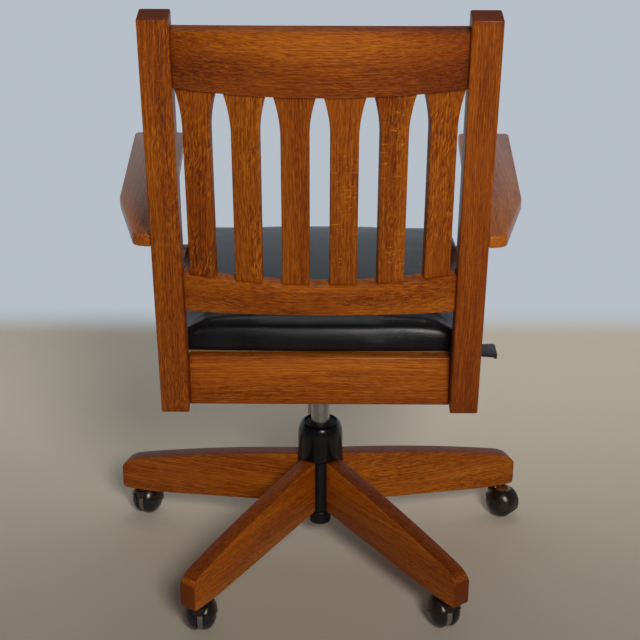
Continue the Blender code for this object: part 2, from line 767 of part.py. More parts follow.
def tension_knob():
    """The lobed knob under the spring, in one piece with its bolt."""
    high = TONGUE_HIGH - HOUSING_WALL - SPRING_LENGTH - FIT
    outline = []
    steps = 5
    for step in range(KNOB_LOBES * steps):
        angle = 2 * math.pi * step / (KNOB_LOBES * steps)
        radius = KNOB_RADIUS * (1 - 0.09 * (0.5 - 0.5 * math.cos(KNOB_LOBES * angle)))
        outline.append((radius * math.cos(angle), radius * math.sin(angle)))
    knob_axis = pivot("tension_knob_axis", (0, BOLT_Y, high), tilt_axis)
    knob = board(outline, KNOB_HEIGHT, (0, BOLT_Y, high - KNOB_HEIGHT / 2))
    ease(knob, 0.002, 1, math.radians(60))
    ride(part(knob, "tension_knob", BLACK_PLASTIC), knob_axis)
    head_low = BOARD_LOW + FIT
    bolt = turned(
        [
            (0.0, head_low + BOLT_HEAD_HEIGHT),
            (0.0065, head_low + BOLT_HEAD_HEIGHT),
            (0.0065, head_low),
            (BOLT_RADIUS, head_low),
            (BOLT_RADIUS, high - KNOB_HEIGHT / 2),
            (0.0, high - KNOB_HEIGHT / 2),
        ],
        16,
        (0, BOLT_Y, 0),
    )
    join(knob, ride_tool(bolt, "tension_bolt", knob_axis))


tension_knob()


def height_lever():
    """The rod through the housing, its finger over the valve pin, and the paddle on its end."""
    lever_axis = pivot("height_lever_axis", (0, LEVER_Y, LEVER_Z), lift_axis)
    root = -PADDLE_TIP + PADDLE_LENGTH
    rod = round_bar(
        LEVER_ROD, (HOUSING_HALF_WIDTH + 0.003, LEVER_Y, LEVER_Z), (root - 0.03, LEVER_Y, LEVER_Z), 20
    )
    ride(part(rod, "lever_rod", STEEL), lever_axis)
    finger_low = VALVE_TOP + FIT
    finger = block(
        (-0.005, -0.004, finger_low), (0.005, LEVER_Y, LEVER_Z + LEVER_ROD * 0.6)
    )
    join(rod, ride_tool(finger, "valve_finger", lever_axis))
    high = LEVER_Z + LEVER_ROD
    outline = rounded(
        [
            (-PADDLE_TIP, PADDLE_REAR),
            (-PADDLE_TIP, PADDLE_FRONT),
            (root, PADDLE_FRONT + 0.006),
            (root, PADDLE_REAR - 0.012),
        ],
        0.004,
        2,
    )
    paddle = board(outline, PADDLE_THICK, (0, 0, high - PADDLE_THICK / 2))
    ease(paddle, 0.001)
    ride(part(paddle, "lever_paddle", BLACK_PLASTIC), lever_axis)
    lip = block(
        (-PADDLE_TIP + 0.0004, PADDLE_FRONT + 0.004, high - PADDLE_THICK - PADDLE_LIP),
        (-PADDLE_TIP + 0.0044, PADDLE_REAR - 0.004, high - PADDLE_THICK / 2),
    )
    join(paddle, ride_tool(lip, "paddle_lip", lever_axis))
    boss_radius = LEVER_ROD + 0.0024
    boss_ends = (root + 0.004, LEVER_Y, LEVER_Z), (root - 0.034, LEVER_Y, LEVER_Z)
    join(paddle, ride_tool(round_bar(boss_radius, *boss_ends, 20), "paddle_boss", lever_axis))
    bore_ends = (root + 0.01, LEVER_Y, LEVER_Z), (root - 0.0303, LEVER_Y, LEVER_Z)
    bore = round_bar(LEVER_ROD + FIT, *bore_ends, 20)
    cut(paddle, ride_tool(bore, "paddle_bore", lever_axis))


height_lever()


def gas_lift():
    """Cylinder, piston rod, valve pin, column tube, its bush and the bell that covers it."""
    valve_floor = CYLINDER_TOP - 0.018
    bore_top = CYLINDER_TOP - 0.030
    guide_top = CYLINDER_LOW + 0.012
    cylinder = turned(
        [
            (0.0, valve_floor),
            (VALVE_RADIUS + RUN, valve_floor),
            (VALVE_RADIUS + RUN, CYLINDER_TOP),
            (CYLINDER_RADIUS - 0.001, CYLINDER_TOP),
            (CYLINDER_RADIUS, CYLINDER_TOP - 0.002),
            (CYLINDER_RADIUS, CYLINDER_LOW + 0.001),
            (CYLINDER_RADIUS - 0.001, CYLINDER_LOW),
            (ROD_RADIUS + RUN, CYLINDER_LOW),
            (ROD_RADIUS + RUN, guide_top),
            (CYLINDER_BORE, guide_top),
            (CYLINDER_BORE, bore_top),
            (0.0, bore_top),
        ]
    )
    ride(part(cylinder, "gas_cylinder", CHROME), lift_axis)
    valve_axis = pivot("valve_axis", (0, 0, VALVE_TOP), lift_axis)
    pin_low = CYLINDER_TOP - 0.012
    pin = round_bar(VALVE_RADIUS, (0, 0, pin_low), (0, 0, VALVE_TOP), 16)
    ride(part(pin, "valve_pin", STEEL), valve_axis)
    washer_low = TUBE_FLOOR + FIT
    socket_low = FOOT_LOW + 0.008
    rod = turned(
        [
            (0.0, ROD_TOP),
            (CYLINDER_BORE - RUN, ROD_TOP),
            (CYLINDER_BORE - RUN, ROD_TOP - 0.013),
            (ROD_RADIUS, ROD_TOP - 0.013),
            (ROD_RADIUS, washer_low + 0.0032),
            (0.0095, washer_low + 0.0032),
            (0.0095, washer_low),
            (ROD_RADIUS, washer_low),
            (ROD_RADIUS, socket_low + FIT),
            (0.0, socket_low + FIT),
        ],
        24,
    )
    ride(part(rod, "piston_rod", STEEL), swivel_axis)
    tube = turned(
        [
            (0.0, socket_low),
            (ROD_RADIUS + FIT, socket_low),
            (ROD_RADIUS + FIT, TUBE_FLOOR),
            (TUBE_RADIUS - TUBE_WALL, TUBE_FLOOR),
            (TUBE_RADIUS - TUBE_WALL, TUBE_TOP),
            (TUBE_RADIUS, TUBE_TOP),
            (TUBE_RADIUS, TUBE_SHOULDER),
            (FOOT_NECK, TUBE_SHOULDER - 0.006),
            (FOOT_NECK, FOOT_HIGH),
            (FOOT_RADIUS, FOOT_HIGH - 0.006),
            (FOOT_RADIUS, FOOT_LOW + 0.003),
            (FOOT_RADIUS - 0.003, FOOT_LOW),
            (0.0, FOOT_LOW),
        ]
    )
    part(tube, "column_tube", BLACK_PAINT)
    flange_low = TUBE_TOP + FIT
    sleeve = TUBE_RADIUS - TUBE_WALL - FIT
    grooves = [(0.0215, 0.0013), (0.0203, 0.0005), (0.0192, 0.0013), (0.0180, 0.0005)]
    bush = turned(
        [
            (CYLINDER_RADIUS + RUN, flange_low + 0.0020),
            *[(radius, flange_low + height) for radius, height in reversed(grooves)],
            (TUBE_RADIUS - 0.0006, flange_low + 0.0013),
            (TUBE_RADIUS - 0.0006, flange_low),
            (sleeve, flange_low),
            (sleeve, flange_low - BUSH_LENGTH),
            (CYLINDER_RADIUS + RUN, flange_low - BUSH_LENGTH),
        ],
        closed=True,
    )
    part(bush, "column_bush", BLACK_PLASTIC)
    low = LEG_ROOT_HIGH + FIT
    outer = [(BELL_HOLE, BELL_TOP - BELL_WALL), (BELL_HOLE, BELL_TOP)]
    steps = 4
    flat = BELL_RADIUS - 0.0007
    for step in range(1, steps + 1):
        angle = math.pi / 2 * step / steps
        run = flat - BELL_HOLE - 0.0006
        radius = BELL_HOLE + 0.0006 + run * math.sin(angle)
        outer.append((radius, BELL_TOP - BELL_SHOULDER * (1 - math.cos(angle))))
    outer.append((BELL_RADIUS, low + 0.004))
    outer.append((BELL_RADIUS + 0.0008, low))
    inner = [(BELL_RADIUS - BELL_WALL, low)]
    for step in range(steps, 0, -1):
        angle = math.pi / 2 * step / steps
        run = flat - BELL_WALL - BELL_HOLE - 0.0006
        radius = BELL_HOLE + 0.0006 + run * math.sin(angle)
        drop = BELL_SHOULDER * (1 - math.cos(angle))
        inner.append((radius, BELL_TOP - BELL_WALL - drop))
    bell = turned(outer + inner, 32, closed=True)
    part(bell, "bell_cover", BLACK_PLASTIC)


gas_lift()


def curve(start, control, end, steps):
    """Points along a quadratic curve, without its start."""
    points = []
    for step in range(1, steps + 1):
        t = step / steps
        points.append(start * (1 - t) ** 2 + control * 2 * t * (1 - t) + end * t**2)
    return points


def leg_outline():
    """The side of a leg: a low curve out to the shoulder, a round nose, and a flat under the tip."""
    root = Vector((HUB_FLAT + FIT, LEG_ROOT_HIGH))
    shoulder = Vector((LEG_SHOULDER, LEG_SHOULDER_HIGH))
    crown_spot = (root + shoulder) / 2 + Vector((0, LEG_CROWN))
    nose_corner = Vector((LEG_TIP - 0.0055, LEG_SHOULDER_HIGH - 0.0055))
    nose = Vector((LEG_TIP, LEG_NOSE))
    toe_high = Vector((LEG_TIP, LEG_LOW + LEG_TOE))
    toe_corner = Vector((LEG_TIP, LEG_LOW))
    toe_low = Vector((LEG_TIP - LEG_TOE, LEG_LOW))
    outline = [root, *curve(root, crown_spot, shoulder, 4)]
    outline += curve(shoulder, nose_corner, nose, 3)
    outline += [toe_high, *curve(toe_high, toe_corner, toe_low, 2)]
    under = [(LEG_FLAT_UNDER, LEG_LOW), (root.x, LEG_ROOT_LOW)]
    return [tuple(spot) for spot in outline] + under


def on_base(radius, angle, height):
    """A point on the base, by its radius and its angle from the rear towards +X."""
    return Vector((radius * math.sin(angle), radius * math.cos(angle), height))


def base_and_legs():
    """The steel hub with a flat for each leg, and the tapered wooden legs."""
    hub = turned(
        [
            (TUBE_RADIUS + FIT, HUB_HIGH),
            (HUB_RADIUS - 0.0016, HUB_HIGH),
            (HUB_RADIUS, HUB_HIGH - 0.0016),
            (HUB_RADIUS, HUB_LOW + 0.001),
            (HUB_RADIUS - 0.001, HUB_LOW),
            (TUBE_RADIUS + FIT, HUB_LOW),
        ],
        30,
        closed=True,
    )
    part(hub, "base_hub", BLACK_PAINT)
    outline = leg_outline()
    for number in range(LEG_COUNT):
        angle = 2 * math.pi * (number + 0.5) / LEG_COUNT - BASE_TURN
        # A turn of this much takes the leg's own +X to its direction on the floor.
        heading = math.pi / 2 - angle
        leg = board(outline, LEG_THICK, (0, 0, 0), (math.pi / 2, 0, heading))
        ease(leg, EASE, 1, math.radians(30))
        part(leg, f"base_leg_{number + 1}", WOOD)
        flat = block(
            (-0.010, -0.019, HUB_LOW - 0.01), (0.010, 0.019, HUB_HIGH + 0.01), (0, 0, heading)
        )
        flat.location = on_base(HUB_FLAT + 0.010, angle, (HUB_LOW + HUB_HIGH) / 2)
        cut(hub, tool(flat, f"hub_flat_{number + 1}"))
        foot = on_base(CASTER_RADIUS, angle, 0.0)
        top = foot + Vector((0, 0, STEM_TOP + FIT))
        hole = round_bar(STEM_RADIUS + FIT, foot + Vector((0, 0, 0.04)), top, 20)
        cut(leg, tool(hole, f"stem_hole_{number + 1}"))
        caster(number + 1, foot, CASTER_ANGLES[number])


def ball_side(radius, near, far):
    """Half of a ball's outline, from its pole to its widest ring: (radius, distance) points."""
    steps = 4
    reach = math.radians(70)
    points = [(0.0, far)]
    for step in range(steps, -1, -1):
        angle = reach * step / steps
        along = near + (far - near) * math.sin(angle) / math.sin(reach)
        points.append((radius * math.cos(angle), along))
    return points


# The faceted wheel's corners stand out a little further than its flats.
FACET = math.cos(math.pi / WHEEL_SEGMENTS)
WHEEL_CORNER = WHEEL_RADIUS / FACET
WHEEL_INNER = WEB_THICK / 2 + FIT
WHEEL_OUTER = WHEEL_INNER + WHEEL_WIDTH
CHAMBER_RADIUS = WHEEL_CORNER / FACET + FIT
CHAMBER_OUTER = WHEEL_OUTER + 2 * FIT


def wheel_profile():
    """Half of a ball: a short level tread beside the web, then the dome, and the axle's bore."""
    bore_end = WHEEL_OUTER - AXLE_COVER
    return [
        *ball_side(WHEEL_CORNER, WHEEL_INNER + WHEEL_TREAD, WHEEL_OUTER),
        (WHEEL_CORNER, WHEEL_INNER),
        (AXLE_RADIUS + RUN, WHEEL_INNER),
        (AXLE_RADIUS + RUN, bore_end),
        (0.0, bore_end),
    ]


def caster(number, foot, angle):
    """A hooded ball caster: stem in the leg, hood that swivels on it, two half-ball wheels."""
    trail = Vector((math.sin(angle), math.cos(angle), 0.0))
    axle = Vector((trail.y, -trail.x, 0.0))
    centre = foot + trail * CASTER_TRAIL + Vector((0, 0, WHEEL_RADIUS))
    spigot_low = COLLAR_HIGH - SPIGOT_LENGTH
    flange_high = LEG_LOW - FIT
    flange_low = COLLAR_HIGH + RUN
    stem = turned(
        [
            (0.0, STEM_TOP),
            (STEM_RADIUS - 0.001, STEM_TOP),
            (STEM_RADIUS, STEM_TOP - 0.002),
            (STEM_RADIUS, flange_high),
            (STEM_RADIUS + 0.0020, flange_high),
            (STEM_RADIUS + 0.0020, flange_low),
            (SPIGOT_RADIUS, flange_low),
            (SPIGOT_RADIUS, spigot_low),
            (0.0, spigot_low),
        ],
        16,
        foot,
    )
    part(stem, f"caster_{number}_stem", STEEL)
    swivel = pivot(f"caster_{number}_swivel_axis", foot + Vector((0, 0, COLLAR_HIGH)))
    upright = axle.to_track_quat("Z", "Y")
    near = WHEEL_INNER + WHEEL_TREAD + HOOD_WALL / 4
    half = ball_side(CHAMBER_RADIUS + HOOD_WALL, near, CHAMBER_OUTER + HOOD_WALL)
    ball = half + [(radius, -along) for radius, along in reversed(half)]
    hood = turned(ball, WHEEL_SEGMENTS, centre, upright.to_euler())
    ride(part(hood, f"caster_{number}_hood", BRONZE), swivel)
    collar = turned(
        [
            (0.0, COLLAR_HIGH),
            (0.0115, COLLAR_HIGH),
            (0.0120, COLLAR_HIGH - 0.0015),
            (0.0085, WHEEL_RADIUS + 0.009),
            (0.0, WHEEL_RADIUS + 0.009),
        ],
        20,
        foot,
    )
    join(hood, ride_tool(collar, f"caster_{number}_collar", swivel))
    # The chambers that the wheels turn in leave a web between them.
    inner = WEB_THICK / 2
    for side, name in ((1, "a"), (-1, "b")):
        near = WHEEL_INNER + WHEEL_TREAD + FIT / 2
        profile = ball_side(CHAMBER_RADIUS, near, CHAMBER_OUTER)
        profile += [(CHAMBER_RADIUS, inner), (0.0, inner)]
        facing = (axle * side).to_track_quat("Z", "Y")
        chamber = turned(profile, WHEEL_SEGMENTS, centre, facing.to_euler())
        cut(hood, ride_tool(chamber, f"caster_{number}_chamber_{name}", swivel))
        # Half a step of turn puts a flat of the faceted tread on the floor.
        flat_down = facing @ Matrix.Rotation(math.pi / WHEEL_SEGMENTS, 3, "Z").to_quaternion()
        wheel = turned(wheel_profile(), WHEEL_SEGMENTS, centre, flat_down.to_euler())
        ride(part(wheel, f"caster_{number}_wheel_{name}", BLACK_PLASTIC), swivel)
    # Below the hood's tilted mouth, which is lower behind the wheels, only the web is left.
    mouth = block((-0.05, -0.05, -0.06), (0.05, 0.05, 0.0))
    mouth.data.transform(Matrix.Translation((0, 0, -0.03)))
    mouth.location = centre + Vector((0, 0, 0.0015))
    level = trail.to_track_quat("X", "Z").to_matrix()
    mouth.rotation_euler = (Matrix.Rotation(-HOOD_TILT, 3, axle) @ level).to_euler()
    web_half = axle * (inner - 0.0001)
    web = round_bar(WHEEL_RADIUS - 0.0012, centre - web_half, centre + web_half, 24)
    cut(mouth, ride_tool(web, f"caster_{number}_web", swivel))
    cut(hood, ride_tool(mouth, f"caster_{number}_mouth", swivel))
    reach = axle * (WHEEL_OUTER - AXLE_COVER - 2 * FIT)
    pin = round_bar(AXLE_RADIUS, centre - reach, centre + reach, 16)
    join(hood, ride_tool(pin, f"caster_{number}_axle", swivel))
    bore_low = foot + Vector((0, 0, spigot_low - RUN))
    bore_high = foot + Vector((0, 0, COLLAR_HIGH + 0.01))
    bore = round_bar(SPIGOT_RADIUS + FIT, bore_low, bore_high, 16)
    cut(hood, ride_tool(bore, f"caster_{number}_spigot_bore", swivel))


base_and_legs()

for item in [*PARTS.objects, *CUTTERS.objects]:
    if item.parent is None:
        item.location.y -= COLUMN_AHEAD
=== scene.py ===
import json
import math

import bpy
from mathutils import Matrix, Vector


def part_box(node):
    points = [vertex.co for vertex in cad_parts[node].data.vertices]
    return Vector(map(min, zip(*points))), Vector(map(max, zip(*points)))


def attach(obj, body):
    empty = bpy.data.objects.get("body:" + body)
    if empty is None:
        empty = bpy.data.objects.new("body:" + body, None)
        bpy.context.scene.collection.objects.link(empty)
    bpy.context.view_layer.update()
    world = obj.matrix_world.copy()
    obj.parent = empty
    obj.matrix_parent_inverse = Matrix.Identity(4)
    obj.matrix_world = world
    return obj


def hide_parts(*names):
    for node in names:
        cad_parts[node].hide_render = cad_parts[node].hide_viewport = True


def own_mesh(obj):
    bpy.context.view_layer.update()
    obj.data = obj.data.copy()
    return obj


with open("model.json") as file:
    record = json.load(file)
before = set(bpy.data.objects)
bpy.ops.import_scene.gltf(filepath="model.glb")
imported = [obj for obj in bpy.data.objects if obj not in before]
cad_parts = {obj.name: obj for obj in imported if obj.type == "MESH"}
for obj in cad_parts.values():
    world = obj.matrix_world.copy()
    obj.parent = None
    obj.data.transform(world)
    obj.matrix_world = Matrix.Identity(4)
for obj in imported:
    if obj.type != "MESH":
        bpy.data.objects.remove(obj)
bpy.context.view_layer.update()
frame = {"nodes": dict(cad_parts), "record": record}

# %% [markdown]
# # A slat-back oak desk chair
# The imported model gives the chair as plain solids, each already in its place. This script leaves
# them there and dresses them: it models finer pieces over those whose shape the eye dwells on,
# such as the bowed rails, the slats, the legs and the casters, and it gives each surface a
# material made of nodes. Everything is in metres. The chair faces -Y, so the camera, which sees
# its back, stands at +Y, and the sitter's right hand is at -X.

# The column stands a little ahead of the middle of the plan, where the origin is.
AHEAD = 0.013
NODES = frame["nodes"]


def active(piece):
    """Makes one object the selected and active one, as a click on it would."""
    if bpy.context.mode != "OBJECT":
        bpy.ops.object.mode_set(mode="OBJECT")
    bpy.ops.object.select_all(action="DESELECT")
    piece.select_set(True)
    bpy.context.view_layer.objects.active = piece
    return piece


def edit(piece, kind="VERT"):
    """Opens a piece in edit mode with nothing selected."""
    active(piece)
    bpy.ops.object.mode_set(mode="EDIT")
    bpy.ops.mesh.select_mode(type=kind)
    bpy.ops.mesh.select_all(action="DESELECT")


def done(piece):
    bpy.ops.object.mode_set(mode="OBJECT")
    return piece


def everything():
    """Selects all of the piece that is open in edit mode."""
    bpy.ops.mesh.select_all(action="SELECT")


def named(piece, name):
    """Gives an object and its mesh one name."""
    piece.name = name
    piece.data.name = name
    return piece


def pick(piece, rule):
    """Selects the vertices whose place passes a rule. The piece is open in edit mode."""
    bpy.ops.object.mode_set(mode="OBJECT")
    for vertex in piece.data.vertices:
        vertex.select = bool(rule(vertex.co))
    for edge in piece.data.edges:
        edge.select = all(piece.data.vertices[i].select for i in edge.vertices)
    for face in piece.data.polygons:
        face.select = all(piece.data.vertices[i].select for i in face.vertices)
    bpy.ops.object.mode_set(mode="EDIT")


def apply_all(piece):
    """Applies every modifier, in order."""
    active(piece)
    for name in [modifier.name for modifier in piece.modifiers]:
        bpy.ops.object.modifier_apply(modifier=name)
    return piece


def settle(piece, matrix=None):
    """Moves a piece by a matrix and writes its place into its mesh, as a CAD node has it."""
    active(piece)
    if matrix is not None:
        piece.matrix_world = matrix @ piece.matrix_world
    bpy.ops.object.transform_apply(location=True, rotation=True, scale=True)
    return piece


def smooth(piece, degrees=35):
    active(piece)
    bpy.ops.object.shade_smooth_by_angle(angle=math.radians(degrees))
    return piece


def copied(piece, name):
    """A copy with a mesh of its own."""
    active(piece)
    bpy.ops.object.duplicate()
    return named(bpy.context.object, name)


def soften(piece, width, segments=3, degrees=40):
    """Rounds the edges that are sharper than an angle."""
    bevel = piece.modifiers.new("Ease", "BEVEL")
    bevel.width = width
    bevel.segments = segments
    bevel.limit_method = "ANGLE"
    bevel.angle_limit = math.radians(degrees)
    bevel.harden_normals = False
    return apply_all(piece)


def carve(piece, tool):
    """Cuts a piece with another one, which is then thrown away."""
    step = piece.modifiers.new("Carve", "BOOLEAN")
    step.operation = "DIFFERENCE"
    step.solver = "EXACT"
    step.object = tool
    apply_all(piece)
    bpy.data.objects.remove(tool, do_unlink=True)
    return piece

# %% [markdown]
# ## Drawing, spinning and cutting
# Nearly every piece of this chair is one of two shapes. A board is an outline that is pulled out
# straight; a turned piece is a profile that is spun about an axis. Both could be typed in as lists
# of faces, but it is easier to follow them as a maker would: one vertex is extruded from point to
# point, which draws the outline, and one more operator makes the solid. What two boards share,
# such as the notch of an arm round its post, is then cut with a copy of the other board.

# %% Drawing, pulling out and spinning
EASE = 0.0018
FIT = 0.0003


def draw(name, points, filled=False):
    """Draws a chain of points from a single vertex, extruded from each point to the next."""
    bpy.ops.object.select_all(action="DESELECT")
    bpy.ops.mesh.primitive_plane_add(size=0.001, location=points[0])
    piece = named(bpy.context.object, name)
    edit(piece)
    everything()
    bpy.ops.mesh.merge(type="CENTER")
    for here, there in zip(points, points[1:]):
        step = Vector(there) - Vector(here)
        bpy.ops.mesh.extrude_vertices_move(TRANSFORM_OT_translate={"value": step})
    if filled:
        everything()
        bpy.ops.mesh.edge_face_add()
    done(piece)
    return settle(piece)


def pull(piece, way):
    """Pulls a filled outline out into a board."""
    edit(piece, "FACE")
    everything()
    bpy.ops.mesh.extrude_region_move(TRANSFORM_OT_translate={"value": way})
    everything()
    bpy.ops.mesh.normals_make_consistent(inside=False)
    return done(piece)


def spin(piece, centre=(0, 0, 0), axis=(0, 0, 1), steps=48, degrees=360):
    """Spins a drawn profile about an axis, closes its seam and turns its faces outwards."""
    edit(piece)
    everything()
    bpy.ops.mesh.spin(steps=steps, angle=math.radians(degrees), center=centre, axis=axis)
    everything()
    bpy.ops.mesh.remove_doubles(threshold=0.000004)
    bpy.ops.mesh.normals_make_consistent(inside=False)
    return done(piece)


def block(name, low, high):
    """A box between two corners, written into its mesh."""
    low, high = Vector(low), Vector(high)
    bpy.ops.object.select_all(action="DESELECT")
    bpy.ops.mesh.primitive_cube_add(size=1.0, location=(low + high) / 2, scale=high - low)
    return settle(named(bpy.context.object, name))


def cutter(low, high):
    """A box that is a little larger than a board, to cut the notch that the board lies in."""
    grow = Vector((FIT, FIT, FIT))
    return block("cutter", Vector(low) - grow, Vector(high) + grow)


def arc(start, corner, end, steps):
    """Points of a soft curve that leaves start, bends at corner and reaches end."""
    start, corner, end = Vector(start), Vector(corner), Vector(end)
    times = [step / steps for step in range(steps + 1)]
    return [start * (1 - t) ** 2 + corner * 2 * t * (1 - t) + end * t**2 for t in times]


# %% What a piece stands for
BODY_OF = {node: body for body, nodes in frame["record"]["behaviour"]["bodies"].items() for node in nodes}


def wear(piece, material):
    """Gives a piece or a CAD node one material all over."""
    piece.data.materials.clear()
    piece.data.materials.append(material)
    return piece


def stand_for(piece, node, material, beside=False):
    """Puts a piece in a node's place: its body, its finish, and the node itself is hidden."""
    wear(piece, material)
    if not beside:
        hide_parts(node)
    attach(piece, BODY_OF[node])
    return piece


# %% [markdown]
# ## The camera
# The photograph was taken from behind the chair, above its back and a little to the right of
# its middle, with a lens of about 84 mm. Those numbers come from fitting the straight lines of
# the chair. A long lens keeps the posts nearly parallel.

# %% The camera
LENS = 84.4
CAMERA_PLACE = Vector((-0.0097, 2.0433 - AHEAD, 1.2422))
PITCH = math.radians(22.878)
YAW = math.radians(-0.30)
ROLL = math.radians(0.154)

bpy.ops.object.select_all(action="DESELECT")
bpy.ops.object.camera_add(location=CAMERA_PLACE)
camera = bpy.context.object
camera.data.lens = LENS
camera.data.sensor_width = 36.0
# A camera looks down its own -Z. First it is stood up to look along -Y, then pitched and turned.
camera.rotation_euler = (
    Matrix.Rotation(math.pi - YAW, 3, "Z")
    @ Matrix.Rotation(math.pi / 2 - PITCH, 3, "X")
    @ Matrix.Rotation(ROLL, 3, "Z")
).to_euler()
bpy.context.scene.camera = camera

# %% [markdown]
# ## Floor, backdrop and light
# A pale floor runs up into a pale wall a step in front of the chair, through a hollow that leaves
# no corner. The top faces of the wood and the leather mirror that wall, which gives them their
# grey sheen. Behind the camera the room is dark, so the faces that look at the camera keep their
# full colour. A large lamp above and a second one to the right of the camera light the chair.

# %% Floor and light
WALL_PLACE = -1.15
HOLLOW = 0.25

bpy.ops.object.select_all(action="DESELECT")
bpy.ops.mesh.primitive_plane_add(size=9.0, location=(0, WALL_PLACE + 4.5, -0.0002))
sweep = bpy.context.object
sweep.name = "studio_sweep"
edit(sweep, "EDGE")
pick(sweep, lambda co: co.y < 0)
bpy.ops.mesh.extrude_region_move(TRANSFORM_OT_translate={"value": (0, 0, 4.0)})
pick(sweep, lambda co: co.y < 0 and co.z < 0.1)
bpy.ops.mesh.bevel(offset=HOLLOW, segments=16, affect="EDGES")
done(sweep)
smooth(settle(sweep), 60)


def area_light(name, place, target, size, power, colour):
    bpy.ops.object.light_add(type="AREA", location=place)
    lamp = bpy.context.object
    lamp.name = name
    lamp.data.shape = "DISK"
    lamp.data.size = size
    lamp.data.energy = power
    lamp.data.color = colour
    aim = Vector(target) - Vector(place)
    lamp.rotation_euler = aim.to_track_quat("-Z", "Y").to_euler()
    return lamp


area_light("overhead_lamp", (0.0, -1.2, 2.6), (0, -0.1, 0.2), 1.6, 15.0, (0.97, 0.985, 1.0))
area_light("key_lamp", (-0.70, 3.0, 2.15), (0, 0, 0.45), 0.9, 65.0, (1.0, 0.97, 0.93))

world = bpy.data.worlds.new("room")
bpy.context.scene.world = world
world.use_nodes = True
world.node_tree.nodes["Background"].inputs["Color"].default_value = (0.80, 0.88, 1.0, 1.0)
world.node_tree.nodes["Background"].inputs["Strength"].default_value = 0.12
bpy.context.scene.view_settings.view_transform = "Standard"

# %% [markdown]
# ## Shader sums in Python
# A material is a graph of nodes. Written out link by link it is hard to read, so a small class
# wraps a socket: a sum of two of them adds a Math node, and `add` makes any other node.

# %% A socket that can be added and multiplied


class Signal:
    """An output socket of a node, with the operators of arithmetic."""

    def __init__(self, recipe, socket):
        self.recipe = recipe
        self.socket = socket

    def math(self, operation, *others, clamp=False):
        settings = {"operation": operation, "use_clamp": clamp}
        sockets = dict(enumerate((self, *others)))
        return self.recipe.add("ShaderNodeMath", settings, sockets)

    def __add__(self, other):
        return self.math("ADD", other)

    def __sub__(self, other):
        return self.math("SUBTRACT", other)

    def __mul__(self, other):
        return self.math("MULTIPLY", other)

    def step(self, low, high, start=0.0, end=1.0):
        """Runs from start to end while the signal goes from low to high, softly."""
        settings = {"interpolation_type": "SMOOTHSTEP"}
        values = {"Value": self, "From Min": low, "From Max": high, "To Min": start, "To Max": end}
        return self.recipe.add("ShaderNodeMapRange", settings, values)


class Recipe:
    """A material whose Principled shader is fed by the nodes that are added to it."""

    def __init__(self, name, **fixed):
        self.material = bpy.data.materials.new(name)
        self.material.use_nodes = True
        self.nodes = self.material.node_tree.nodes
        self.links = self.material.node_tree.links
        self.shader = self.nodes["Principled BSDF"]
        for label, value in fixed.items():
            self.set(label.replace("_", " ").title(), value)

    def set(self, label, value):
        """Feeds a socket of the shader with a signal, or sets it to a number or a colour."""
        for name in (label, label.replace("Ior", "IOR")):
            if name in self.shader.inputs:
                self.fill(self.shader.inputs[name], value)
                return
        raise KeyError(label)

    def fill(self, socket, value):
        if isinstance(value, Signal):
            self.links.new(value.socket, socket)
        elif socket.type == "RGBA" and len(value) == 3:
            socket.default_value = (*value, 1.0)
        else:
            socket.default_value = value

    def add(self, kind, settings=None, sockets=None, output=0):
        """Adds a node: its settings first, then what goes into its sockets."""
        node = self.nodes.new(kind)
        for name, value in (settings or {}).items():
            if name == "stops":
                ramp = node.color_ramp
                while len(ramp.elements) < len(value):
                    ramp.elements.new(0.5)
                for element, (place, colour) in zip(ramp.elements, value):
                    element.position = place
                    element.color = (*colour, 1.0)
            else:
                setattr(node, name, value)
        for name, value in (sockets or {}).items():
            self.fill(node.inputs[name], value)
        return Signal(self, node.outputs[output])

    def place(self):
        return self.add("ShaderNodeTexCoord", output="Object")

    def moved(self, vector, **sockets):
        """A vector after the Scale, Rotation and Location that are given."""
        return self.add("ShaderNodeMapping", None, {"Vector": vector, **sockets})

    def turned_place(self, matrix, origin):
        """Object coordinates seen along the piece's own axes, counted from an origin."""
        turn, start = tuple(matrix.to_euler()), tuple(-(matrix @ Vector(origin)))
        return self.moved(self.place(), Rotation=turn, Location=start)

    def stretch(self, vector, scale, shift=(0, 0, 0)):
        return self.moved(vector, Scale=scale, Location=shift)

    def coordinate(self, vector, axis):
        """One coordinate of a vector: axis 0, 1 or 2 for X, Y or Z."""
        return self.add("ShaderNodeSeparateXYZ", None, {"Vector": vector}, axis)

    def noise(self, vector, scale, detail=3.0, rough=0.55, distortion=0.0, output=0):
        sockets = {
            "Vector": vector,
            "Scale": scale,
            "Detail": detail,
            "Roughness": rough,
            "Distortion": distortion,
        }
        return self.add("ShaderNodeTexNoise", {"noise_dimensions": "3D"}, sockets, output)

    def mix(self, factor, first, second):
        sockets = {0: factor, 6: first, 7: second}
        return self.add("ShaderNodeMix", {"data_type": "RGBA"}, sockets, 2)

    def bump(self, height, strength, distance):
        sockets = {"Height": height, "Strength": strength, "Distance": distance}
        self.set("Normal", self.add("ShaderNodeBump", None, sockets))


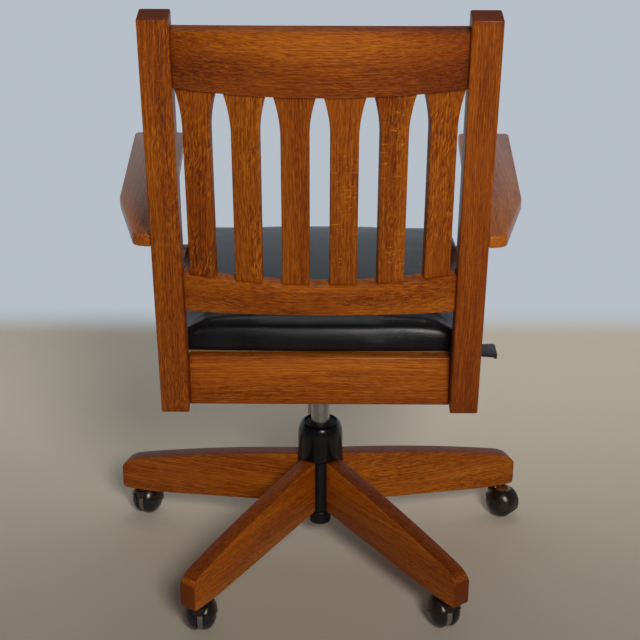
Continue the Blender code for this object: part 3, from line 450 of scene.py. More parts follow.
# %% The studio's own material
# The floor takes the chair's shadow, and its colour is painted lighter towards the wall, as painted
# light. The wall above it, and the far end of the floor, are shown to the camera, and to surfaces
# that mirror them, at the even tone of a lit backdrop, so that no lamp has to be turned up for it.
# What mirrors it finds the backdrop's upper edge, and above that a wall painted nearly black, as
# painted shade for a dark room.
studio = Recipe("studio_paint", roughness=0.7)
height = studio.coordinate(studio.place(), 2)
depth = studio.coordinate(studio.place(), 1)
# The floor is painted lighter from near to far, as painted light.
floor_tone_and_painted_light = studio.mix(depth.step(0.5, -0.7), (0.44, 0.382, 0.303), (0.95, 0.84, 0.66))
wall_part = height.step(0.01, 0.10)
# Above about 1.3 m the wall is painted nearly black, as painted shade for a dark room.
wall_tone_and_painted_shade = studio.mix(height.step(1.20, 1.35), (0.80, 0.84, 0.92), (0.03, 0.03, 0.035))
studio.set("Base Color", studio.mix(wall_part, floor_tone_and_painted_light, wall_tone_and_painted_shade))
backdrop = studio.add("ShaderNodeEmission", None, {"Color": (0.475, 0.520, 0.580), "Strength": 1.0})
seen = studio.add("ShaderNodeLightPath", output="Is Camera Ray")
mirrored = studio.add("ShaderNodeLightPath", output="Is Glossy Ray")
far_part = wall_part.math("MAXIMUM", depth.step(-0.82, -0.98))
shown = (seen + mirrored * height.step(1.32, 1.20)).math("MULTIPLY", far_part, clamp=True)
painted_wall = Signal(studio, studio.shader.outputs[0])
both = studio.add("ShaderNodeMixShader", None, {0: shown, 1: painted_wall, 2: backdrop})
studio.links.new(both.socket, studio.nodes["Material Output"].inputs["Surface"])
sweep.data.materials.append(studio.material)

# %% [markdown]
# ## Stained oak
# The chair is quarter-sawn oak under an orange-brown stain and a satin lacquer. Quarter sawing
# shows three things: fine straight growth lines along the board, short dark pores between them,
# and ray flecks, which lie as wavy worm-like streaks at a slant or as thin pale lines straight
# across. Each board is cut from another place, so each has its own tone and its own share of
# flecks. All these patterns are one noise stretched by different amounts. Each board is also
# painted darker towards its ends, as painted shade where two boards meet.

# %% The oak of one board
STAIN_DARK = (0.120, 0.019, 0.0012)
STAIN_MID = (0.288, 0.057, 0.0022)
STAIN_LIGHT = (0.560, 0.160, 0.0070)
PORE = (0.050, 0.009, 0.0006)
RAY_PALE = (0.660, 0.235, 0.0200)


def oak(
    name, grain, face, origin, tone, worms, rays, half=9.0,
    middle=0.0, lift=0.0, painted_shade_along=0.0, sheen=0.0, seed=0,
):
    """A board's oak: its grain and broad face, its tone, its flecks, and painted shade at its ends."""
    wood = Recipe(name, specular_ior_level=0.15, coat_roughness=0.20)
    grain = Vector(grain).normalized()
    face = Vector(face)
    face = (face - grain * face.dot(grain)).normalized()
    board = wood.turned_place(Matrix((grain, face.cross(grain), face)), origin)
    shift = (seed * 3.7, seed * 1.9, seed * 0.7)
    along = wood.coordinate(board, 0)
    beside = wood.coordinate(board, 1)
    # A slow wander bends every line of the board together, and a quicker one makes them quiver.
    wander = wood.noise(wood.stretch(board, (3.0, 11.0, 11.0), shift), 1.0, 2.0)
    quiver = wood.noise(wood.stretch(board, (26.0, 60.0, 60.0), shift), 1.0, 2.0)
    sway = wood.add("ShaderNodeCombineXYZ", None, {"Y": wander * 0.020 + quiver * 0.0035})
    bent = wood.add("ShaderNodeVectorMath", {"operation": "ADD"}, {0: board, 1: sway})
    broad = wood.noise(wood.stretch(bent, (1.6, 20.0, 10.0), shift), 1.0, 2.0)
    lines = wood.noise(wood.stretch(bent, (10.0, 760.0, 300.0), shift), 1.0, 3.0, 0.6)
    fibre = wood.noise(wood.stretch(bent, (70.0, 1100.0, 900.0), shift), 1.0, 1.0, 0.6)
    # Pores are short dark dashes that lie in the loose early wood between the lines.
    dashes = wood.noise(wood.stretch(bent, (80.0, 820.0, 500.0), shift), 1.0, 1.0, 0.6)
    pores = dashes.step(0.52, 0.60) * broad.step(0.64, 0.40)
    # Worm-like flecks slant over the lines in patches, dark beside bright, and swirl as they go.
    swirl = wood.noise(wood.stretch(board, (24.0, 24.0, 24.0), shift), 1.0, 1.0, output="Color")
    eddy = {0: swirl, 1: (0.013, 0.013, 0.0), 2: bent}
    curled = wood.add("ShaderNodeVectorMath", {"operation": "MULTIPLY_ADD"}, eddy)
    turned = wood.moved(curled, Rotation=(0, 0, math.radians(9)), Location=shift)
    ribbons = wood.noise(wood.stretch(turned, (105.0, 640.0, 60.0)), 1.0, 2.0, 0.5, 0.4)
    patches = wood.noise(wood.stretch(board, (11.0, 26.0, 10.0), shift), 1.0, 2.0)
    worm = (ribbons - 0.5) * patches.step(0.38, 0.58) * worms
    # Rays cut square across are thin pale lines.
    across = wood.noise(wood.stretch(bent, (430.0, 70.0, 60.0), shift), 1.0, 2.0, 0.55, 0.5)
    cross_patch = wood.noise(wood.stretch(board, (9.0, 20.0, 10.0), (4.0, 2.0, seed)), 1.0, 1.0)
    ray = across.step(0.60, 0.68) * cross_patch.step(0.46, 0.58) * rays
    # A band of painted shade over the last centimetre at each end, where the board meets the next.
    seam = (along * along).step((half - 0.010) ** 2, half**2)
    mixed = broad * 0.24 + lines * 0.34 + fibre * 0.22 + 0.10 + worm * 0.78
    # Darker from one end of the board to the other is painted shade.
    mixed = mixed + tone - along * along * middle - beside * lift - along * painted_shade_along - seam * 0.035
    # The very ends of a board are painted darker still, as painted shade in the joints.
    painted_end_shade = (along * along).step((half - 0.0022) ** 2, (half - 0.0008) ** 2)
    ramp = {"stops": [(0.38, STAIN_DARK), (0.50, STAIN_MID), (0.64, STAIN_LIGHT)]}
    colour = wood.add("ShaderNodeValToRGB", ramp, {"Fac": mixed})
    colour = wood.mix(pores * 0.42, colour, PORE)
    colour = wood.mix(ray * 0.60, colour, RAY_PALE)
    colour = wood.mix(painted_end_shade * 0.75, colour, STAIN_DARK)
    wood.set("Base Color", colour)
    wood.set("Roughness", fibre.step(0.2, 0.8, 0.40, 0.54) - ray * 0.08)
    wood.set("Coat Weight", broad.step(0.3, 0.7, 0.10 + sheen, 0.18 + sheen))
    wood.bump(fibre * 0.4 + lines * 0.4 - pores * 0.9, 0.22, 0.0004)
    return wood.material


X, Y, Z = Vector((1, 0, 0)), Vector((0, 1, 0)), Vector((0, 0, 1))
LEAN = math.radians(9.4)
UP_POST = Vector((0, math.sin(LEAN), math.cos(LEAN)))
REARWARD = Vector((0, math.cos(LEAN), -math.sin(LEAN)))

# Grain, broad face, tone, worm flecks, cross rays, half the board's length; then how much darker
# the board gets away from its middle, how much darker from edge to edge across it, how much painted
# shade darkens it from end to end along it, and how much more its lacquer shines.
BOARDS = {
    "left_back_post": (UP_POST, REARWARD, 0.024, 0.45, 0.3, 0.2735),
    "right_back_post": (UP_POST, REARWARD, -0.026, 0.20, 0.2, 0.2735, 0.0, 0.3, -0.12),
    "crest_rail": (X, REARWARD, 0.006, 0.30, 0.1, 0.172, 2.2, 0.75, -0.14, 0.10),
    "lower_back_rail": (X, REARWARD, 0.036, 0.35, 0.2, 0.172, 0.4),
    "rear_seat_rail": (X, Y, 0.015, 0.25, 0.2, 0.172),
    "front_seat_rail": (X, Y, 0.0, 0.3, 0.2, 0.220),
    "left_seat_rail": (Y, X, 0.0, 0.3, 0.2),
    "right_seat_rail": (Y, X, 0.0, 0.3, 0.2),
    "left_arm_post": (Z, Y, 0.0, 0.4, 0.3),
    "right_arm_post": (Z, Y, 0.0, 0.4, 0.3),
    # The arms are lighter than the other boards: partly their own tone, partly painted light for the
    # wall's sheen on their tops.
    "left_armrest": (Y, Z, 0.100, 0.2, 0.3, 9.0, 0.0, 0.0, 0.0, 0.36),
    "right_armrest": (Y, Z, 0.072, 0.2, 0.3, 9.0, 0.0, 0.0, 0.0, 0.30),
}
SLAT_FIGURES = [
    (0.018, 0.65, 0.0),
    (0.026, 0.45, 1.1),
    (0.034, 0.20, 1.4),
    (0.022, 0.10, 0.0),
    (0.080, 0.95, 0.2),
    (0.010, 0.85, 0.0),
]
for number, (tone, worms, rays) in enumerate(SLAT_FIGURES, 1):
    BOARDS[f"back_slat_{number}"] = (UP_POST, REARWARD, tone, worms, rays, 0.128)

LEG_TURN = math.radians(1.8)
LEG_ANGLES = [2 * math.pi * (number + 0.5) / 5 - LEG_TURN for number in range(5)]
# How much darker the oak of the legs' top faces is painted, as painted shade.
TOP_PAINTED_SHADE = 0.085
TOP_WORMS = 0.1
LEG_FIGURES = [(0.050, 0.3), (0.022, 0.3), (0.03, 0.4), (0.078, 0.6), (0.036, 0.15)]
for number, (angle, (tone, worms)) in enumerate(zip(LEG_ANGLES, LEG_FIGURES), 1):
    outward = Vector((math.sin(angle), math.cos(angle), 0))
    BOARDS[f"base_leg_{number}"] = (outward, outward.cross(Z), tone, worms, 0.2, 0.1481)

OAKS = {}
for number, (node, (grain, face, *figure)) in enumerate(BOARDS.items()):
    low, high = (Vector(corner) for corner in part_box(node))
    OAKS[node] = oak(f"oak_{node}", grain, face, (low + high) / 2, *figure, seed=number)
    if node.startswith("base_leg"):
        tone, worms, *rest = figure
        top = node.replace("base_", "") + "_top"
        figure = (tone - TOP_PAINTED_SHADE, TOP_WORMS, *rest)
        OAKS[top] = oak(f"oak_{top}", grain, Z, (low + high) / 2, *figure, seed=number)
print(len(OAKS), "oak boards")

# %% [markdown]
# ## The back posts
# Two square posts lean back by 9.4 degrees. They are easiest to make upright and then lean, so all
# of the back is made in its own frame, whose origin is the lower rear edge of the posts, and moved
# by one matrix at the end. The head of each post is dressed with a small inset face, as a plane
# leaves it, and its edges are eased.

# %% The back's own frame and the posts
BACK = Matrix.Translation((0, 0.261 - AHEAD, 0.356)) @ Matrix.Rotation(-LEAN, 4, "X")
BACK_WIDTH = 0.4180
POST_WIDTH = 0.0368
POST_DEPTH = 0.035
POST_LENGTH = 0.547
POST_INNER = BACK_WIDTH / 2 - POST_WIDTH
SIDES = (("left", 1), ("right", -1))


def post_corners(side):
    inner, outer = side * POST_INNER, side * BACK_WIDTH / 2
    return (min(inner, outer), -POST_DEPTH, 0), (max(inner, outer), 0, POST_LENGTH)


def dressed_post(name, low, high):
    """A square post with a dressed head and eased edges."""
    post = block(name, low, high)
    soften(post, 0.0025, 4)
    edit(post, "FACE")
    pick(post, lambda co: co.z > high[2] - 0.00001)
    bpy.ops.mesh.inset(thickness=0.0012, depth=-0.00012)
    return smooth(done(post))


for name, side in SIDES:
    post = settle(dressed_post(f"{name}_post", *post_corners(side)), BACK)
    stand_for(post, f"{name}_back_post", OAKS[f"{name}_back_post"])
print("posts", POST_WIDTH, "by", POST_DEPTH, "by", POST_LENGTH)

# %% [markdown]
# ## The bowed rails
# The crest rail and the lower rail are steam-bent to one curve and cut to a sweep: the top of the
# crest rises to its middle and the underside of the lower rail arches. A plain board could be bent
# with a modifier, but spinning its section about the centre of the bow gives the true curve. A
# board drawn in elevation then cuts the sweep, and copies of the posts cut the joints.

# %% The bowed rails
RAIL_BOW = 0.0282
RAIL_SET_IN = 0.0053
BOW_RADIUS = (POST_INNER**2 + RAIL_BOW**2) / (2 * RAIL_BOW)
BOW_CENTRE = -RAIL_SET_IN + RAIL_BOW - BOW_RADIUS
CREST_LOW = 0.461
CREST_HEIGHT = 0.084
CREST_THICK = 0.020
CREST_ENDS = 0.0694
CREST_RISE = 0.0109
LOWER_TOP = 0.2085
LOWER_HEIGHT = 0.056
LOWER_THICK = 0.019
LOWER_ENDS = 0.052
LOWER_ARCH = 0.011


def bowed_rail(name, low, high, thickness, sweep_of, above):
    """A rail spun about the centre of the bow, with one edge cut to a sweep."""
    half = math.asin((POST_INNER + 0.010) / BOW_RADIUS)
    start = Matrix.Rotation(half, 3, "Z")
    centre = Vector((0, BOW_CENTRE, 0))
    inner = BOW_RADIUS - thickness
    section = [(BOW_RADIUS, low), (BOW_RADIUS, high), (inner, high), (inner, low)]
    corners = [centre + start @ Vector((0, radius, z)) for radius, z in section]
    rail = draw(name, corners, filled=True)
    spin(rail, centre, (0, 0, 1), 56, 2 * math.degrees(half))
    reach = POST_INNER + 0.03
    far = (high if above else low) + (0.02 if above else -0.02)
    edge = [(-reach + 2 * reach * step / 48) for step in range(49)]
    waste = [(x, -0.12, sweep_of(x)) for x in edge] + [(reach, -0.12, far), (-reach, -0.12, far)]
    carve(rail, pull(draw("waste", waste, filled=True), (0, 0.24, 0)))
    for _, side in SIDES:
        carve(rail, cutter(*post_corners(side)))
    soften(rail, EASE, 3)
    return settle(smooth(rail), BACK)


crest = bowed_rail(
    "crest", CREST_LOW, CREST_LOW + CREST_HEIGHT, CREST_THICK,
    lambda x: CREST_LOW + CREST_ENDS + CREST_RISE * (1 - (x / POST_INNER) ** 2), True,
)
lower = bowed_rail(
    "lower_rail", LOWER_TOP - LOWER_HEIGHT, LOWER_TOP, LOWER_THICK,
    lambda x: LOWER_TOP - LOWER_ENDS + LOWER_ARCH * (1 - (x / POST_INNER) ** 2), False,
)
stand_for(crest, "crest_rail", OAKS["crest_rail"])
stand_for(lower, "lower_back_rail", OAKS["lower_back_rail"])
print("crest faces", len(crest.data.polygons), "lower rail faces", len(lower.data.polygons))

# %% [markdown]
# ## The slats
# Six flat slats stand between the rails. Each widens in a curve to its head under the crest rail.
# One slat is drawn and pulled out, and its copies are turned to the bow.

# %% The slats
SLAT_WIDTH = 0.0338
SLAT_HEAD = 0.050
SLAT_THICK = 0.012
SLAT_INSET = 0.0035
SLAT_FLARE = 0.050
OUTER_SLAT = POST_INNER - 0.0252
SLAT_PLACE = BOW_RADIUS - SLAT_INSET - SLAT_THICK / 2

flare = [(step / 14, CREST_LOW - FIT - SLAT_FLARE * (1 - step / 14)) for step in range(15)]
side_line = [(SLAT_WIDTH / 2, LOWER_TOP + FIT)]
side_line += [(SLAT_WIDTH / 2 + (SLAT_HEAD - SLAT_WIDTH) / 2 * t**1.8, z) for t, z in flare]
slat_outline = [(x, SLAT_THICK / 2, z) for x, z in side_line]
slat_outline += [(-x, y, z) for x, y, z in reversed(slat_outline)]
pattern = pull(draw("slat", slat_outline, filled=True), (0, -SLAT_THICK, 0))
soften(pattern, 0.0015, 3)
for number in range(6):
    angle = math.asin(OUTER_SLAT * (2 * number / 5 - 1) / (BOW_RADIUS - SLAT_INSET))
    place = (SLAT_PLACE * math.sin(angle), BOW_CENTRE + SLAT_PLACE * math.cos(angle), 0)
    slat = copied(pattern, f"slat_{number + 1}")
    settle(slat, BACK @ Matrix.Translation(place) @ Matrix.Rotation(-angle, 4, "Z"))
    node = f"back_slat_{number + 1}"
    stand_for(smooth(slat), node, OAKS[node])
bpy.data.objects.remove(pattern, do_unlink=True)
print("six slats", SLAT_WIDTH, "wide, heads", SLAT_HEAD)

# %% [markdown]
# ## The seat frame and the arm posts
# Four straight rails are joined to four posts: the back posts and the two that carry the arms.
# They are plain planed boards with eased edges. The side rails splay towards the front, so each is
# drawn in plan and notched by the posts.

# %% The seat frame
FRAME_LOW = 0.3635
FRAME_HIGH = 0.4322
FRONT_OUTER = 0.2585
FRONT_FACE = -0.190 - AHEAD
FRONT_POST = 0.038
REAR_FACE = 0.250 - AHEAD
REAR_THICK = 0.020
FRONT_THICK = 0.022
ARM_TOP = 0.618
ARM_THICK = 0.0155


def rail_board(name, low, high):
    rail = block(name, low, high)
    return smooth(soften(rail, EASE, 3))


rear_half = POST_INNER - FIT
rear_low = (-rear_half, REAR_FACE - REAR_THICK, FRAME_LOW)
rear_rail = rail_board("rear_rail", rear_low, (rear_half, REAR_FACE, FRAME_HIGH))
stand_for(rear_rail, "rear_seat_rail", OAKS["rear_seat_rail"])
front_half = FRONT_OUTER - FRONT_POST - FIT
front_y = FRONT_FACE + (FRONT_POST - FRONT_THICK) / 2
front_low = (-front_half, front_y, FRAME_LOW)
front_rail = rail_board("front_rail", front_low, (front_half, front_y + FRONT_THICK, FRAME_HIGH))
stand_for(front_rail, "front_seat_rail", OAKS["front_seat_rail"])

for name, side in SIDES:
    middle = side * (FRONT_OUTER - FRONT_POST / 2)
    low = (middle - FRONT_POST / 2, FRONT_FACE, FRAME_LOW - 0.0075)
    high = (middle + FRONT_POST / 2, FRONT_FACE + FRONT_POST, ARM_TOP - ARM_THICK - FIT)
    post = dressed_post(f"{name}_front_post", low, high)
    stand_for(post, f"{name}_arm_post", OAKS[f"{name}_arm_post"])
    start = Vector((side * (BACK_WIDTH - POST_WIDTH) / 2, REAR_FACE, FRAME_LOW))
    end = Vector((middle, FRONT_FACE + FRONT_POST / 2, FRAME_LOW))
    across = (start - end).cross(Z).normalized() * 0.011
    plan = [start + across, start - across, end - across, end + across]
    rail = pull(draw(f"{name}_rail", plan, filled=True), (0, 0, FRAME_HIGH - FRAME_LOW))
    carve(rail, settle(cutter(*post_corners(side)), BACK))
    carve(rail, cutter(low, high))
    soften(rail, EASE, 2)
    stand_for(smooth(rail), f"{name}_seat_rail", OAKS[f"{name}_seat_rail"])
print("seat frame", round(FRAME_HIGH - FRAME_LOW, 4), "high")

# %% [markdown]
# ## The arms
# Each arm is one flat board that splays to the front, notched round the back post and fixed down on
# the front post. Its outline has rounded corners and its edges are rounded over more than the
# other boards, since hands rub there.

# %% The arms
ARM_PLAN = [(0.2075, -0.169), (0.2835, -0.169), (0.2670, 0.145), (0.2315, 0.294), (0.187, 0.303)]
ARM_CORNER = 0.009


def rounded_plan(points, side):
    """The outline of an arm with soft corners."""
    spots = [Vector((x * side, y - AHEAD, ARM_TOP - ARM_THICK)) for x, y in points]
    outline = []
    for i, corner in enumerate(spots):
        before = (spots[i - 1] - corner).normalized() * ARM_CORNER
        after = (spots[(i + 1) % len(spots)] - corner).normalized() * ARM_CORNER
        outline += arc(corner + before, corner, corner + after, 6)
    return outline


for name, side in SIDES:
    arm = pull(draw(f"{name}_arm", rounded_plan(ARM_PLAN, side), filled=True), (0, 0, ARM_THICK))
    carve(arm, settle(cutter(*post_corners(side)), BACK))
    soften(arm, 0.0026, 4)
    stand_for(smooth(arm), f"{name}_armrest", OAKS[f"{name}_armrest"])
print("arms", ARM_THICK, "thick")

# %% [markdown]
# ## The legs
# Five legs reach from the hub to the casters. Each is sawn from a board on edge: its top falls in a
# low curve to a round nose, its underside rises to the hub, and a flat under the tip sits on the
# caster. One leg is drawn from the side, pulled out to its thickness, bored for the stem, and
# copied round the column.

# %% The legs
LEG_THICK = 0.026
LEG_LOW = 0.053
LEG_TIP = 0.327
CASTER_CIRCLE = 0.300
UPWARD = 0.75

root, shoulder = Vector((0.0308, 0.1582)), Vector((0.296, 0.110))
crown_spot = (root + shoulder) / 2 + Vector((0, 0.0066))
leg_line = arc(root, crown_spot, shoulder, 16)
leg_line += arc(shoulder, (LEG_TIP - 0.0055, 0.1045), (LEG_TIP, 0.0905), 8)[1:]
leg_line += arc((LEG_TIP, LEG_LOW + 0.008), (LEG_TIP, LEG_LOW), (LEG_TIP - 0.008, LEG_LOW), 5)
leg_line += [Vector((0.275, LEG_LOW)), Vector((root.x, 0.0745))]
leg_side = [(spot.x, -LEG_THICK / 2, spot.y) for spot in leg_line]
leg_pattern = pull(draw("leg", leg_side, filled=True), (0, LEG_THICK, 0))
soften(leg_pattern, 0.0020, 3, 30)
bpy.ops.object.select_all(action="DESELECT")
bpy.ops.mesh.primitive_cylinder_add(
    vertices=32, radius=0.0058, depth=0.06, location=(CASTER_CIRCLE, 0, 0.0863 - 0.03)
)
carve(leg_pattern, bpy.context.object)
for number, angle in enumerate(LEG_ANGLES, 1):
    leg = copied(leg_pattern, f"leg_{number}")
    settle(leg, Matrix.Translation((0, -AHEAD, 0)) @ Matrix.Rotation(math.pi / 2 - angle, 4, "Z"))
    stand_for(smooth(leg, 30), f"base_leg_{number}", OAKS[f"base_leg_{number}"])
    # The faces of each leg that look up wear its darker oak, as painted shade: light falls on them less
    # than on the sides.
    leg.data.materials.append(OAKS[f"leg_{number}_top"])
    for face in leg.data.polygons:
        face.material_index = int(face.normal.z > UPWARD)
bpy.data.objects.remove(leg_pattern, do_unlink=True)
print("five legs to", LEG_TIP)

# %% [markdown]
# ## Paint, steel, plastic and plywood
# What is under the seat is plain: black painted steel with the faint orange peel of a sprayed
# coat, zinc-plated rods with drawn lines, and moulded plastic with a fine grain.

# %% Finishes of the hardware


def painted(name, colour, rough=0.32, peel=0.12):
    paint = Recipe(name, coat_weight=0.5, coat_roughness=0.12)
    dust = paint.noise(paint.place(), 38.0, 4.0)
    paint.set("Base Color", paint.mix(dust.step(0.35, 0.75) * 0.25, colour, (0.05, 0.048, 0.045)))
    paint.set("Roughness", dust.step(0.3, 0.8, rough, rough + 0.16))
    paint.bump(paint.noise(paint.place(), 520.0, 2.0), peel, 0.0003)
    return paint.material


def metal(name, colour, rough=0.22, along=(1, 1, 1)):
    steel = Recipe(name, metallic=1.0)
    drawn = steel.noise(steel.stretch(steel.place(), along), 1.0, 3.0)
    cloud = steel.noise(steel.place(), 60.0, 3.0)
    darker = tuple(channel * 0.72 for channel in colour)
    steel.set("Base Color", steel.mix(cloud.step(0.35, 0.75), colour, darker))
    steel.set("Roughness", drawn.step(0.3, 0.7, rough, rough + 0.14))
    steel.bump(drawn, 0.10, 0.0002)
    return steel.material


def moulded(name, colour, rough, grain, specular=0.5):
    plastic = Recipe(name, specular_ior_level=specular)
    haze = plastic.noise(plastic.place(), 55.0, 3.0)
    lighter = tuple(channel * 1.6 + 0.001 for channel in colour)
    plastic.set("Base Color", plastic.mix(haze.step(0.3, 0.8) * 0.5, colour, lighter))
    plastic.set("Roughness", haze.step(0.3, 0.8, rough, rough + 0.12))
    plastic.bump(plastic.noise(plastic.place(), 900.0, 2.0), grain, 0.0002)
    return plastic.material


def plywood(name):
    ply = Recipe(name, roughness=0.6)
    board = ply.stretch(ply.place(), (9.0, 130.0, 900.0))
    lines = ply.noise(board, 1.0, 4.0)
    ply.set("Base Color", ply.mix(lines.step(0.3, 0.75), (0.52, 0.35, 0.18), (0.36, 0.21, 0.10)))
    ply.bump(lines, 0.15, 0.0003)
    return ply.material


wear(NODES["seat_board"], plywood("birch_plywood"))
BLACK_STEEL = painted("black_paint", (0.012, 0.012, 0.013))
ZINC = metal("zinc_plate", (0.60, 0.61, 0.63), 0.24, (60.0, 900.0, 900.0))
for node in ("tilt_pin", "lever_rod", "valve_pin", "piston_rod"):
    wear(NODES[node], ZINC)
KNOB_PLASTIC = moulded("knob_plastic", (0.012, 0.012, 0.013), 0.42, 0.2)
PADDLE_BLACK = moulded("paddle_black", (0.008, 0.008, 0.009), 0.34, 0.12)
BELL_BLACK = moulded("bell_black", (0.0035, 0.0035, 0.004), 0.13, 0.03, specular=0.36)
TUBE_BLACK = moulded("tube_black", (0.0045, 0.005, 0.005), 0.40, 0.06, specular=0.25)
RIB_BLACK = moulded("rib_black", (0.010, 0.010, 0.011), 0.38, 0.08)
CHROME = metal("satin_chrome", (0.48, 0.49, 0.50), 0.24, (900.0, 900.0, 40.0))
BRONZE = metal("antique_bronze", (0.088, 0.072, 0.062), 0.26, (120.0, 120.0, 120.0))
STEM_METAL = metal("stem_brass", (0.52, 0.41, 0.24), 0.26, (200.0, 200.0, 900.0))
WHEEL_BLACK = moulded("wheel_nylon", (0.006, 0.007, 0.009), 0.20, 0.05)
WEB_GREY = moulded("web_grey", (0.115, 0.105, 0.095), 0.45, 0.12)
print("finishes of the hardware")

# %% [markdown]
# ## The column
# A gas cylinder comes down out of the seat, through a ribbed bush, into a steel tube. A black bell
# hides the top of the tube down to the legs, and the tube's foot shows as a disc below the hub. All
# are turned pieces, so each is a profile that is spun, with soft shoulders where light collects.

# %% The column
COLUMN = Matrix.Translation((0, -AHEAD, 0))


def turned(name, profile, steps=64):
    """A piece spun about the column's axis from (radius, height) points."""
    return settle(spin(draw(name, [(radius, 0, z) for radius, z in profile]), steps=steps), COLUMN)


def shoulder_of(radius, hole, top, drop, steps=14):
    """The round shoulder of the bell, from its mouth out to its side."""
    points = []
    for step in range(1, steps + 1):
        angle = math.pi / 2 * step / steps
        points.append((hole + (radius - hole) * math.sin(angle), top - drop * (1 - math.cos(angle))))
    return points


BELL_TOP = 0.2145
bell_side = [(0.0247, BELL_TOP - 0.0017), (0.0247, BELL_TOP - 0.0004), (0.0251, BELL_TOP)]
bell_side += shoulder_of(0.0339, 0.0253, BELL_TOP, 0.023)
bell_side += [(0.0341, 0.1660), (0.0341, 0.1615), (0.0342, 0.1598), (0.0343, 0.1587), (0.0318, 0.1587)]
bell_side += reversed(shoulder_of(0.0322, 0.0253, BELL_TOP - 0.0017, 0.023, 10))
bell = turned("bell", [*bell_side, bell_side[0]], 96)
stand_for(smooth(bell, 40), "bell_cover", BELL_BLACK)

bush_top = 0.2108
ribs = []
for number in range(4):
    radius = 0.0232 - number * 0.0022
    ribs += [(radius, bush_top + 0.0009), (radius - 0.0004, bush_top + 0.0022)]
    ribs += [(radius - 0.0011, bush_top + 0.0024), (radius - 0.0015, bush_top + 0.0009)]
bush_side = [(0.0144, bush_top + 0.0020), *reversed(ribs), (0.0234, bush_top + 0.0005), (0.0234, bush_top)]
bush_side += [(0.0204, bush_top), (0.0204, bush_top - 0.052), (0.0144, bush_top - 0.052)]
bush = turned("bush", [*bush_side, bush_side[0]], 72)
stand_for(smooth(bush, 30), "column_bush", RIB_BLACK)

tube_side = [(0, 0.049), (0.0043, 0.049), (0.0043, 0.078), (0.0207, 0.078), (0.0207, 0.2105)]
tube_side += [(0.0236, 0.2105), (0.024, 0.2101), (0.024, 0.0745), (0.0232, 0.0733), (0.0133, 0.0678)]
tube_side += [(0.0125, 0.0668), (0.0125, 0.0632), (0.0146, 0.0626), (0.0160, 0.0612), (0.0165, 0.0594)]
tube_side += [(0.0165, 0.0432), (0.0159, 0.0417), (0.0146, 0.0410), (0.0120, 0.041), (0, 0.041)]
tube = turned("tube", tube_side)
stand_for(smooth(tube, 40), "column_tube", TUBE_BLACK)

cylinder_side = [(0, 0.312), (0.0034, 0.312), (0.0034, 0.330), (0.0128, 0.330), (0.0134, 0.3294)]
cylinder_side += [(0.0140, 0.3282), (0.0140, 0.1252), (0.0130, 0.1240), (0.0044, 0.1240)]
cylinder_side += [(0.0044, 0.136), (0.0112, 0.136), (0.0112, 0.300), (0, 0.300)]
stand_for(smooth(turned("cylinder", cylinder_side), 30), "gas_cylinder", CHROME)

hub_side = [(0.0243, 0.1570), (0.0329, 0.1570), (0.0341, 0.1564), (0.0345, 0.1552)]
hub_side += [(0.0345, 0.0757), (0.0340, 0.0749), (0.0332, 0.0745), (0.0243, 0.0745)]
hub = turned("hub", [*hub_side, hub_side[0]], 90)
for angle in LEG_ANGLES:
    flat = block("flat", (0.0305, -0.019, 0.06), (0.05, 0.019, 0.17))
    carve(hub, settle(flat, COLUMN @ Matrix.Rotation(math.pi / 2 - angle, 4, "Z")))
stand_for(smooth(hub, 30), "base_hub", TUBE_BLACK)
print("column of five turned pieces")

# %% [markdown]
# ## The casters
# Each caster is a ball made of two half-ball wheels with a fixed web between them, under a hood of
# bronzed sheet. The hood could be a boolean of two balls; here a ball is spun, the part below a
# tilted plane is cut off by bisecting, and the rest gets a wall and a rolled rim. A collar with
# stacked rings carries it on the stem. One caster is made with its stem on the origin and its
# trail along X, and copied to each leg at the angle at which it happens to stand.

# %% The caster
WHEEL = 0.0245
TRAIL = 0.016
BALL = Vector((TRAIL, 0, WHEEL))
HOOD_TILT = math.radians(22)
COLLAR_RINGS = 0.0449
COLLAR_REACH = 0.0124
CASTER_ANGLES = [math.radians(a) for a in (180, -155, 180, -50, -199)]


def dome(radius, near, far, steps=12):
    """Half of a ball's outline, from its widest ring to its pole: (radius, distance) points."""
    reach = math.radians(74)
    points = []
    for step in range(steps + 1):
        angle = reach * step / steps
        along = near + (far - near) * math.sin(angle) / math.sin(reach)
        points.append((radius * math.cos(angle), along))
    return [*points, (radius * 0.12, far + 0.0002), (0.0, far + 0.0002)]


def spun_ball(name, profile, steps=64):
    """A piece spun about the axle from (radius, distance along the axle) points."""
    points = [BALL + Vector((0, along, radius)) for radius, along in profile]
    return spin(draw(name, points), BALL, (0, 1, 0), steps)


def half_wheel(name, side):
    line = [(0.0, 0.0048), (0.0220, 0.0048), (0.0238, 0.0049), (0.02435, 0.0053), (WHEEL, 0.0060)]
    line += dome(WHEEL, 0.0066, 0.0221)
    return smooth(spun_ball(name, [(radius, along * side) for radius, along in line]), 50)


